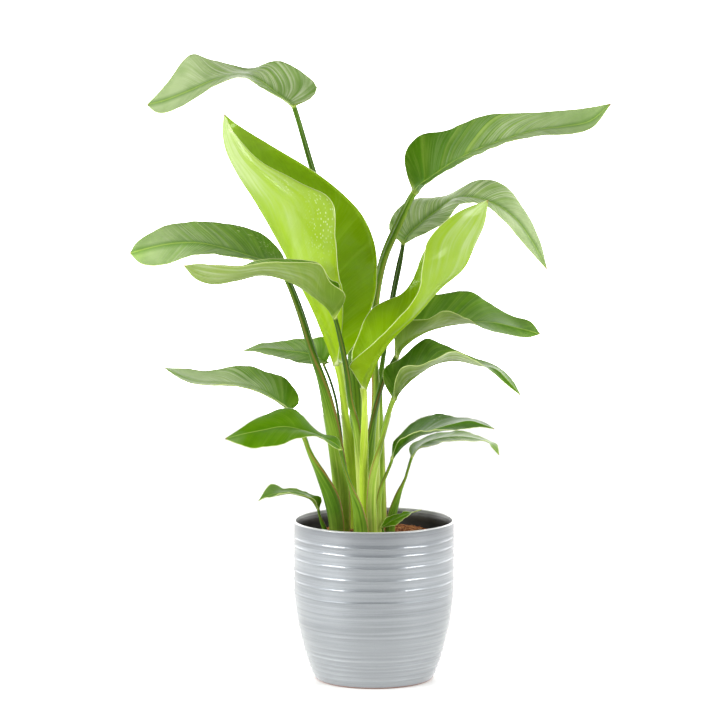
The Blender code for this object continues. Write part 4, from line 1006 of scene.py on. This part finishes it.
def leaf(name, stalk, blade_rows, belly, young=False, veins=(15.0, 0.5, 0.14), bloom_and_sheen=(0.0, 1.0, 0.0, 0.0),
         tone=(0.5, 0.5), margin=-1, painted_shade=(0.0, 0.0), specks=()):
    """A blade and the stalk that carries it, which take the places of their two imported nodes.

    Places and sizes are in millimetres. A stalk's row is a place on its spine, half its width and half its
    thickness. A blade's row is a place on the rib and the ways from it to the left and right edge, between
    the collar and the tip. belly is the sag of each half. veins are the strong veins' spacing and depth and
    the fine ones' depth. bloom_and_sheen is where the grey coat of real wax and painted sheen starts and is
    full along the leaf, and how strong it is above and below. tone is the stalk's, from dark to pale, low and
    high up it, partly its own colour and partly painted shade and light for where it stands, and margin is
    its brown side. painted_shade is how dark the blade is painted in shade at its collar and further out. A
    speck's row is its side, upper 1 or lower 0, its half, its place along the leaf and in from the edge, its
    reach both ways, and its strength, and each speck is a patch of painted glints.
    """
    seed = int(leaf_rng.integers(1, 90))
    collar = np.array(blade_rows[0], float) * MM
    mid = np.array([blade_rows[0]] + [row[0] for row in blade_rows[1:-1]] + [blade_rows[-1]], float) * MM
    ways = np.array([row[1:] for row in blade_rows[1:-1]], float) * MM
    reach = stalk[-1][3] * MM
    into = unit(unit(collar - np.array(stalk[-1][:3]) * MM) + unit(mid[1] - collar))
    across = ways[0, 1] - ways[0, 0]
    across = unit(across - (across @ into) * into)
    upper = np.cross(across, into)
    end = unit(ways[-1, 1] - ways[-1, 0])
    left = np.vstack([[-across * reach], ways[:, 0], [-end * TIP_HALF_WIDTH]])
    right = np.vstack([[across * reach], ways[:, 1], [end * TIP_HALF_WIDTH]])
    table = np.concatenate([mid, left, right], axis=1)
    table[0, :3] = collar - into * COLLAR_TUCK / 2
    made = blade(name + "_leaf", table, (left, right), upper, reach, belly, YOUNG if young else MATURE,
                 veins, bloom_and_sheen, seed, painted_shade, specks)
    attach(made, "root")
    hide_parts(name + "_blade")
    made = stalk_of(name + "_stem", stalk, collar + into * COLLAR_TUCK / 2, into, upper,
                    YOUNG_STALK if young else STALK, tone, margin)
    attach(made, "root")
    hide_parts(name + "_stalk")


# Rear leaf at the top left, arching over behind the large young leaf
leaf(
    "top_left",
    stalk=[
        (-12, 52, 160, 7, 5), (-12, 52, 181, 7, 5), (-19, 55, 248, 7, 4.8), (-22, 57, 307, 7.6, 4.8),
        (-23, 59, 345, 8, 4.6), (-30, 64, 418, 5.6, 4), (-52, 70, 538, 4.4, 4.2),
        (-73, 74, 603, 4, 3.9), (-92, 75, 668, 3.4, 3.3),
    ],
    blade_rows=[
        (-96, 75, 681),
        ((-103, 79, 687), (-2, -16, 0), (28, 16, 3)),
        ((-117, 82, 696), (-2, -27, -2), (46, 25, 12)),
        ((-135, 84, 710), (0, -35, -5), (23, 31, 25)),
        ((-159, 84, 720), (2, -36, -3), (8, 34, 6)),
        ((-190, 83, 713), (-2, -32, -10), (-4, 34, 22)),
        ((-222, 85, 699), (-7, -22, -17), (-2, 26, 43)),
        ((-254, 89, 687), (-6, -8, -15), (4, 12, 21)),
        (-274, 95, 682),
    ],
    belly=(2, 2),
    bloom_and_sheen=(-0.9, 0.6, 0.95, 0.95),
    tone=(0.5, 0.3),
    margin=1,
    painted_shade=(0.1, 0.05),
)

# Large young leaf left of the middle, still folded around its rib
leaf(
    "young_left",
    stalk=[
        (-23, 20, 160, 8.5, 5.5), (-23, 20, 181, 8.5, 5.5), (-27, 20, 235, 8, 5.5),
        (-30, 20, 284, 8.8, 5.6), (-33, 20, 311, 9.2, 5.9), (-35, 19, 336, 8.4, 6),
        (-38, 19, 358, 7.2, 5.8),
    ],
    blade_rows=[
        (-42, 20, 375),
        ((-52, 18, 401), (14, -21, 18), (32, 12, 2)),
        ((-69, 16, 441), (32, -42, 23), (69, 14, 9)),
        ((-87, 13, 476), (47, -54, 9), (91, 14, 8)),
        ((-113, 11, 525), (68, -58, 3), (111, 12, 3)),
        ((-141, 8, 572), (89, -54, 4), (115, 10, -4)),
        ((-162, 6, 604), (72, -39, -7), (93, 7, 0)),
        ((-175, 4, 632), (39, -26, -11), (52, 6, 5)),
        ((-178, 1, 653), (15, -13, -3), (19, 12, 6)),
        (-176, -1, 673),
    ],
    belly=(16, 10),
    young=True,
    tone=(0.56, 0.68),
    margin=1,
    bloom_and_sheen=(0.2, 1.0, 0.2, 0.7),
    veins=(20.0, 0.45, 0.1),
    specks=((0, -1, 0.37, 12, 0.06, 14, 1.0), (0, -1, 0.5, 20, 0.02, 12, 0.6)),
)

# Young leaf right of the middle, a funnel that has just opened
leaf(
    "young_right",
    stalk=[
        (-11, -29, 160, 5.4, 4.4), (-11, -29, 181, 5.4, 4.4), (-12, -29, 237, 5.4, 4.6),
        (-12, -29, 288, 6.2, 4.8), (-12, -29, 316, 6, 4.8), (-12, -26, 338, 4.8, 4.5),
    ],
    blade_rows=[
        (-13, -20, 350),
        ((-6, -23, 367), (-20, 14, 14), (-19, -12, 5)),
        ((5, -26, 391), (-24, 24, 19), (-33, -18, -9)),
        ((25, -29, 417), (-26, 32, 28), (-25, -26, -7)),
        ((48, -32, 439), (-15, 35, 23), (-23, -31, -5)),
        ((77, -34, 471), (-27, 33, 16), (-25, -33, -2)),
        ((106, -36, 496), (-46, 28, 18), (-50, -32, 8)),
        ((118, -36, 521), (-40, 20, 14), (-53, -26, 11)),
        ((129, -36, 546), (-27, 16, 12), (-33, -20, 14)),
        (133, -35, 574),
    ],
    belly=(8, 6),
    young=True,
    tone=(0.6, 0.8),
    margin=-1,
    bloom_and_sheen=(0.35, 0.8, 0.4, 0.4),
    veins=(20.0, 0.2, 0.08),
    painted_shade=(0.22, 0.12),
)

# Drooping leaf at the left, its stalk the leftmost of the tall ones
leaf(
    "left",
    stalk=[
        (-38, -2, 160, 10, 6), (-38, -2, 181, 10, 6), (-39, 1, 226, 10.2, 6), (-45, 5, 274, 9.4, 6),
        (-55, 11, 329, 8.8, 6.2), (-62, 14, 359, 7.6, 6.2), (-73, 18, 392, 6, 6),
        (-88, 20, 440, 5.2, 5.2), (-103, 22, 477, 4.4, 4.4),
    ],
    blade_rows=[
        (-110, 22, 490),
        ((-117, 25, 496), (-2, -14, -4), (9, 20, 5)),
        ((-129, 27, 499), (0, -24, -2), (10, 30, 16)),
        ((-148, 29, 504), (-5, -29, -1), (10, 35, 27)),
        ((-174, 30, 512), (-6, -29, -4), (0, 35, 28)),
        ((-205, 31, 519), (-6, -23, -13), (-7, 33, 23)),
        ((-236, 33, 519), (-4, -15, -22), (-5, 27, 22)),
        ((-265, 35, 514), (-2, -7, -22), (3, 16, 19)),
        ((-283, 39, 509), (1, -2, -13), (-2, 6, 9)),
        (-292, 45, 506),
    ],
    belly=(2, 2),
    bloom_and_sheen=(0.0, 0.7, 0.7, 0.8),
    tone=(0.72, 0.25),
    veins=(15.0, 0.35, 0.14),
    margin=-1,
    specks=((1, 1, 0.18, 6, 0.03, 6, 0.8), (1, 1, 0.1, 14, 0.05, 10, 0.4)),
)

# Folded leaf at the front left, seen from below
leaf(
    "front_left",
    stalk=[
        (-13, -15, 160, 7, 4.6), (-13, -15, 181, 7, 4.6), (-14, -15, 226, 6.4, 4.6),
        (-17, -16, 271, 6, 4.5), (-21, -19, 307, 4.8, 4.2), (-27, -29, 335, 4.1, 4),
        (-31, -45, 372, 4.6, 3.8), (-39, -64, 416, 4.4, 3.5), (-42, -68, 429, 3.4, 3.2),
    ],
    blade_rows=[
        (-45, -70, 440),
        ((-51, -74, 450), (18, -22, 15), (11, 18, 23)),
        ((-65, -80, 463), (15, -24, 19), (14, 24, 20)),
        ((-83, -87, 476), (22, -24, 28), (18, 28, 27)),
        ((-104, -94, 487), (17, -22, 21), (6, 28, 20)),
        ((-129, -101, 492), (8, -20, 15), (-1, 26, 15)),
        ((-158, -109, 486), (3, -16, 17), (5, 24, 16)),
        ((-185, -114, 482), (2, -10, 23), (-1, 16, 21)),
        ((-203, -119, 488), (3, -5, 18), (0, 9, 14)),
        (-217, -123, 504),
    ],
    belly=(5, 4),
    bloom_and_sheen=(0.1, 0.4, 0.35, 0.35),
    tone=(1.0, 0.12),
    margin=-1,
    painted_shade=(0.6, 0.12),
)

# Small leaf behind the left stalks
leaf(
    "small_rear",
    stalk=[
        (-30, 32, 160, 4, 3), (-30, 32, 181, 4, 3), (-37, 36, 239, 3, 2.6), (-41, 39, 299, 2.2, 2),
        (-46, 41, 331, 1.9, 1.8), (-54, 43, 357, 1.7, 1.6),
    ],
    blade_rows=[
        (-60, 45, 371),
        ((-63, 50, 376), (10, -12, 0), (14, 13, 18)),
        ((-70, 56, 381), (0, -20, -8), (12, 19, 21)),
        ((-86, 61, 385), (-3, -22, -9), (6, 22, 15)),
        ((-108, 68, 387), (-5, -19, -8), (-1, 21, 9)),
        ((-132, 73, 389), (-3, -11, -5), (-1, 15, 5)),
        (-159, 80, 385),
    ],
    belly=(2, 2),
    tone=(0.2, 0.1),
    margin=1,
    painted_shade=(0.3, 0.1),
    bloom_and_sheen=(0.0, 0.6, 0.55, 0.8),
    veins=(9.0, 0.4, 0.14),
)

# Level leaf at the lower left
leaf(
    "lower_left",
    stalk=[
        (-44, -26, 160, 9, 5), (-44, -26, 181, 9, 5), (-50, -22, 218, 9.5, 5), (-62, -18, 246, 7.6, 5),
        (-74, -13, 270, 5, 4.2), (-84, -9, 295, 3.7, 3.4), (-95, -6, 315, 3, 2.8),
    ],
    blade_rows=[
        (-99, -5, 322),
        ((-104, -10, 328), (3, -12, -1), (13, 18, 0)),
        ((-115, -17, 337), (0, -22, 1), (24, 30, 4)),
        ((-132, -25, 349), (-1, -29, 2), (26, 39, 11)),
        ((-154, -34, 357), (-2, -30, 2), (23, 42, 11)),
        ((-181, -43, 360), (-3, -27, 0), (20, 41, 16)),
        ((-207, -51, 363), (-5, -19, 0), (10, 33, 9)),
        ((-227, -58, 371), (-4, -8, -1), (2, 20, 5)),
        (-244, -65, 380),
    ],
    belly=(2, 2),
    bloom_and_sheen=(0.08, 0.5, 0.95, 0.95),
    tone=(0.33, 0.5),
    margin=-1,
    painted_shade=(0.25, 0.05),
)

# Front leaf low on the left
leaf(
    "front_low",
    stalk=[
        (-15, -52, 160, 9, 4.5), (-15, -52, 181, 9, 4.5), (-19, -54, 213, 6.2, 4),
        (-26, -58, 237, 3.6, 3.1), (-33, -60, 259, 3, 2.8), (-37, -59, 275, 2.7, 2.6),
    ],
    blade_rows=[
        (-39, -58, 284),
        ((-46, -63, 291), (-2, -10, -3), (3, 10, 5)),
        ((-61, -72, 300), (-2, -20, 2), (0, 20, 1)),
        ((-83, -81, 309), (-3, -32, -4), (5, 30, 7)),
        ((-105, -90, 314), (-5, -32, -18), (7, 28, 18)),
        ((-129, -99, 311), (-8, -24, -17), (-1, 24, 15)),
        ((-151, -109, 308), (-3, -12, -11), (0, 12, 7)),
        (-171, -119, 304),
    ],
    belly=(-3, -3),
    tone=(0.5, 0.4),
    margin=-1,
    painted_shade=(0.35, 0.15),
    bloom_and_sheen=(0.8, 1.0, 0.5, 0.5),
    veins=(15.0, 0.3, 0.12),
)

# Lowest leaf at the left, just above the rim
leaf(
    "lowest_left",
    stalk=[
        (-58, -20, 160, 3, 3), (-58, -20, 178, 3, 3), (-62, -20, 192, 2.6, 2.4), (-65, -19, 202, 2, 2),
    ],
    blade_rows=[
        (-66, -18, 207),
        ((-70, -21, 214), (0, -8, 4), (8, 10, 3)),
        ((-78, -26, 223), (-5, -13, 3), (6, 15, 0)),
        ((-92, -31, 229), (-4, -16, 1), (6, 20, -2)),
        ((-110, -37, 229), (-4, -14, -1), (3, 20, 3)),
        ((-125, -44, 226), (-3, -8, -1), (2, 14, 11)),
        (-136, -51, 221),
    ],
    belly=(2, 2),
    bloom_and_sheen=(0.2, 0.5, 0.3, 0.6),
    tone=(0.35, 0.3),
    margin=-1,
    painted_shade=(0.35, 0.15),
)

# Long leaf at the top right
leaf(
    "top_right",
    stalk=[
        (-1, 14, 160, 6.5, 5), (-1, 14, 181, 6.5, 5), (1, 20, 235, 6.2, 5), (1, 24, 295, 5.6, 5),
        (2, 30, 343, 5.2, 4.6), (-1, 36, 414, 5, 4.8), (10, 40, 497, 5.8, 5.8), (29, 42, 542, 5.8, 5.6),
        (43, 44, 571, 4.5, 4.2),
    ],
    blade_rows=[
        (48, 45, 579),
        ((54, 40, 588), (-15, 17, 12), (3, -17, -3)),
        ((69, 32, 599), (-32, 33, 24), (1, -29, -2)),
        ((93, 23, 616), (-37, 42, 31), (3, -38, -1)),
        ((123, 12, 632), (-37, 44, 21), (3, -40, -2)),
        ((158, 1, 645), (-32, 40, 24), (3, -38, -3)),
        ((192, -10, 655), (-20, 32, 19), (4, -30, -5)),
        ((223, -21, 659), (-9, 22, 18), (5, -20, -8)),
        ((252, -33, 666), (-2, 12, 15), (2, -10, -8)),
        (275, -43, 686),
    ],
    belly=(2, 0),
    bloom_and_sheen=(0.1, 0.5, 0.65, 0.95),
    tone=(0.85, 0.5),
    margin=1,
    painted_shade=(1.0, 0.1),
    veins=(20, 1.4, 0.14),
)

# Rear leaf at the right, arching over and hanging to a point
leaf(
    "rear_right",
    stalk=[
        (9, 38, 160, 6.5, 5), (9, 38, 181, 6.5, 5), (8, 50, 267, 5, 4.4), (7, 57, 346, 4, 3.8),
        (14, 62, 403, 3.9, 3.6), (24, 66, 460, 3.8, 3.7), (31, 69, 494, 3.6, 3.5),
        (34, 71, 509, 2.8, 2.7),
    ],
    blade_rows=[
        (35, 72, 516),
        ((42, 76, 526), (-23, 15, 3), (6, -13, -4)),
        ((57, 82, 540), (-32, 23, 11), (13, -29, -7)),
        ((76, 90, 554), (-25, 28, 14), (10, -34, -9)),
        ((98, 97, 569), (-10, 28, 3), (3, -34, -7)),
        ((123, 102, 569), (4, 25, 21), (-7, -30, -5)),
        ((149, 103, 560), (11, 22, 22), (-9, -25, -2)),
        ((171, 101, 544), (12, 19, 12), (-12, -20, -3)),
        ((192, 99, 516), (9, 12, 4), (-12, -12, -1)),
        (210, 95, 483),
    ],
    belly=(-3, -3),
    bloom_and_sheen=(-0.9, 0.6, 1.0, 1.0),
    tone=(0.7, 0.05),
    margin=-1,
    painted_shade=(0.1, 0.0),
    veins=(12, 0.7, 0.2),
)

# Broad leaf at the right, half way up
leaf(
    "right",
    stalk=[
        (-5, -6, 160, 5.5, 4.5), (-5, -6, 181, 5.5, 4.5), (-5, -4, 239, 5.4, 4.4), (-4, 1, 284, 6, 4.3),
        (1, 10, 321, 6, 4), (10, 22, 355, 5, 4.3), (22, 37, 375, 4.1, 3.9),
    ],
    blade_rows=[
        (26, 40, 381),
        ((30, 44, 390), (-5, 17, 20), (-4, -15, 14)),
        ((42, 47, 401), (-11, 32, 24), (-9, -26, 24)),
        ((61, 50, 412), (-12, 42, 34), (-1, -32, 18)),
        ((87, 54, 419), (-5, 46, 34), (-3, -36, 20)),
        ((116, 57, 422), (-3, 45, 33), (-8, -35, 8)),
        ((146, 60, 421), (-5, 40, 21), (-12, -30, -4)),
        ((171, 63, 415), (-4, 27, 12), (-8, -19, -8)),
        ((189, 67, 410), (1, 13, 10), (-3, -7, -7)),
        (201, 73, 406),
    ],
    belly=(3, 4),
    bloom_and_sheen=(0.15, 0.6, 0.2, 0.75),
    tone=(0.65, 0.15),
    margin=1,
    painted_shade=(0.6, 0.05),
)

# Folded leaf at the front right
leaf(
    "front_right",
    stalk=[
        (-2, -40, 160, 6, 4.5), (-2, -40, 181, 6, 4.5), (-3, -40, 220, 5.8, 4.4),
        (-1, -38, 251, 5.2, 4.2), (6, -31, 281, 5.6, 3.8), (14, -20, 311, 5, 3.9),
        (20, -11, 330, 4.2, 3.7),
    ],
    blade_rows=[
        (23, -10, 337),
        ((26, -13, 344), (-12, 14, 6), (-2, -16, 8)),
        ((37, -18, 357), (-25, 27, 13), (-4, -25, 21)),
        ((52, -24, 370), (-19, 39, 14), (2, -29, 13)),
        ((71, -30, 382), (-11, 45, 25), (3, -29, 10)),
        ((95, -38, 387), (-10, 44, 11), (0, -26, 11)),
        ((121, -46, 382), (-5, 35, 5), (-1, -19, 6)),
        ((143, -54, 377), (2, 24, 2), (-4, -10, -3)),
        ((156, -61, 365), (5, 12, 0), (-4, -4, -3)),
        (171, -68, 348),
    ],
    belly=(3, 3),
    bloom_and_sheen=(0.0, 0.4, 0.15, 0.9),
    tone=(0.8, 0.75),
    margin=1,
    painted_shade=(0.5, 0.2),
)

# Low leaf at the right, the front one of a pair
leaf(
    "low_right",
    stalk=[
        (5, -20, 160, 4.5, 3.5), (5, -20, 181, 4.5, 3.5), (8, -25, 232, 2.8, 2.6), (17, -31, 257, 2.4, 2.3),
        (20, -34, 265, 2.2, 2.2),
    ],
    blade_rows=[
        (21, -35, 270),
        ((25, -39, 276), (-3, 13, 9), (1, -13, 10)),
        ((34, -45, 287), (-4, 28, 6), (1, -22, 12)),
        ((48, -53, 297), (-4, 40, 12), (1, -26, 11)),
        ((68, -62, 307), (1, 44, 13), (1, -26, 2)),
        ((91, -71, 315), (1, 43, 3), (2, -21, -4)),
        ((112, -81, 320), (3, 32, -1), (0, -12, -7)),
        ((126, -91, 317), (2, 16, 0), (0, -6, -3)),
        (139, -100, 313),
    ],
    belly=(2, 3),
    bloom_and_sheen=(0.2, 0.6, 0.1, 0.8),
    tone=(0.9, 0.5),
    margin=1,
    painted_shade=(1.0, 1.0),
    specks=((1, -1, 0.3, 10, 0.04, 5, 0.8),),
)

# Narrow leaf behind it
leaf(
    "low_rear_right",
    stalk=[
        (19, -12, 160, 6, 4), (19, -12, 181, 6, 4), (29, -6, 222, 4, 3), (37, 0, 241, 2.2, 2.1),
        (43, 4, 260, 2, 2),
    ],
    blade_rows=[
        (45, 5, 266),
        ((49, 8, 273), (-7, 15, 0), (5, -13, 5)),
        ((59, 12, 281), (-6, 28, -1), (4, -22, -1)),
        ((76, 14, 287), (-2, 36, 2), (2, -26, -1)),
        ((98, 17, 289), (3, 36, 1), (-1, -24, -3)),
        ((121, 20, 286), (3, 27, 0), (-2, -15, -1)),
        ((138, 23, 280), (8, 13, -2), (-3, -9, 3)),
        ((145, 28, 272), (4, 4, 1), (-4, -3, 2)),
        (150, 33, 264),
    ],
    belly=(2, 2),
    bloom_and_sheen=(0.2, 0.5, 0.65, 0.9),
    tone=(0.4, 0.45),
    margin=1,
    painted_shade=(0.5, 0.3),
)

# Tiny leaf inside the rim
leaf(
    "sprout",
    stalk=[
        (11, -33, 162, 2.4, 2.4), (11, -33, 178, 2.2, 2.2), (10.5, -32, 183, 1.7, 1.7),
    ],
    blade_rows=[
        (9, -30, 187),
        ((13, -30, 189), (0, 6, 5), (4, -6, -1)),
        ((20, -31, 194), (2, 11, 6), (6, -9, -2)),
        ((30, -32, 199), (5, 10, 4), (5, -8, -2)),
        ((40, -33, 203), (5, 5, 2), (3, -4, 1)),
        (56, -34, 208),
    ],
    belly=(1, 1),
    tone=(0.35, 0.35),
    margin=1,
    painted_shade=(0.25, 0.25),
)
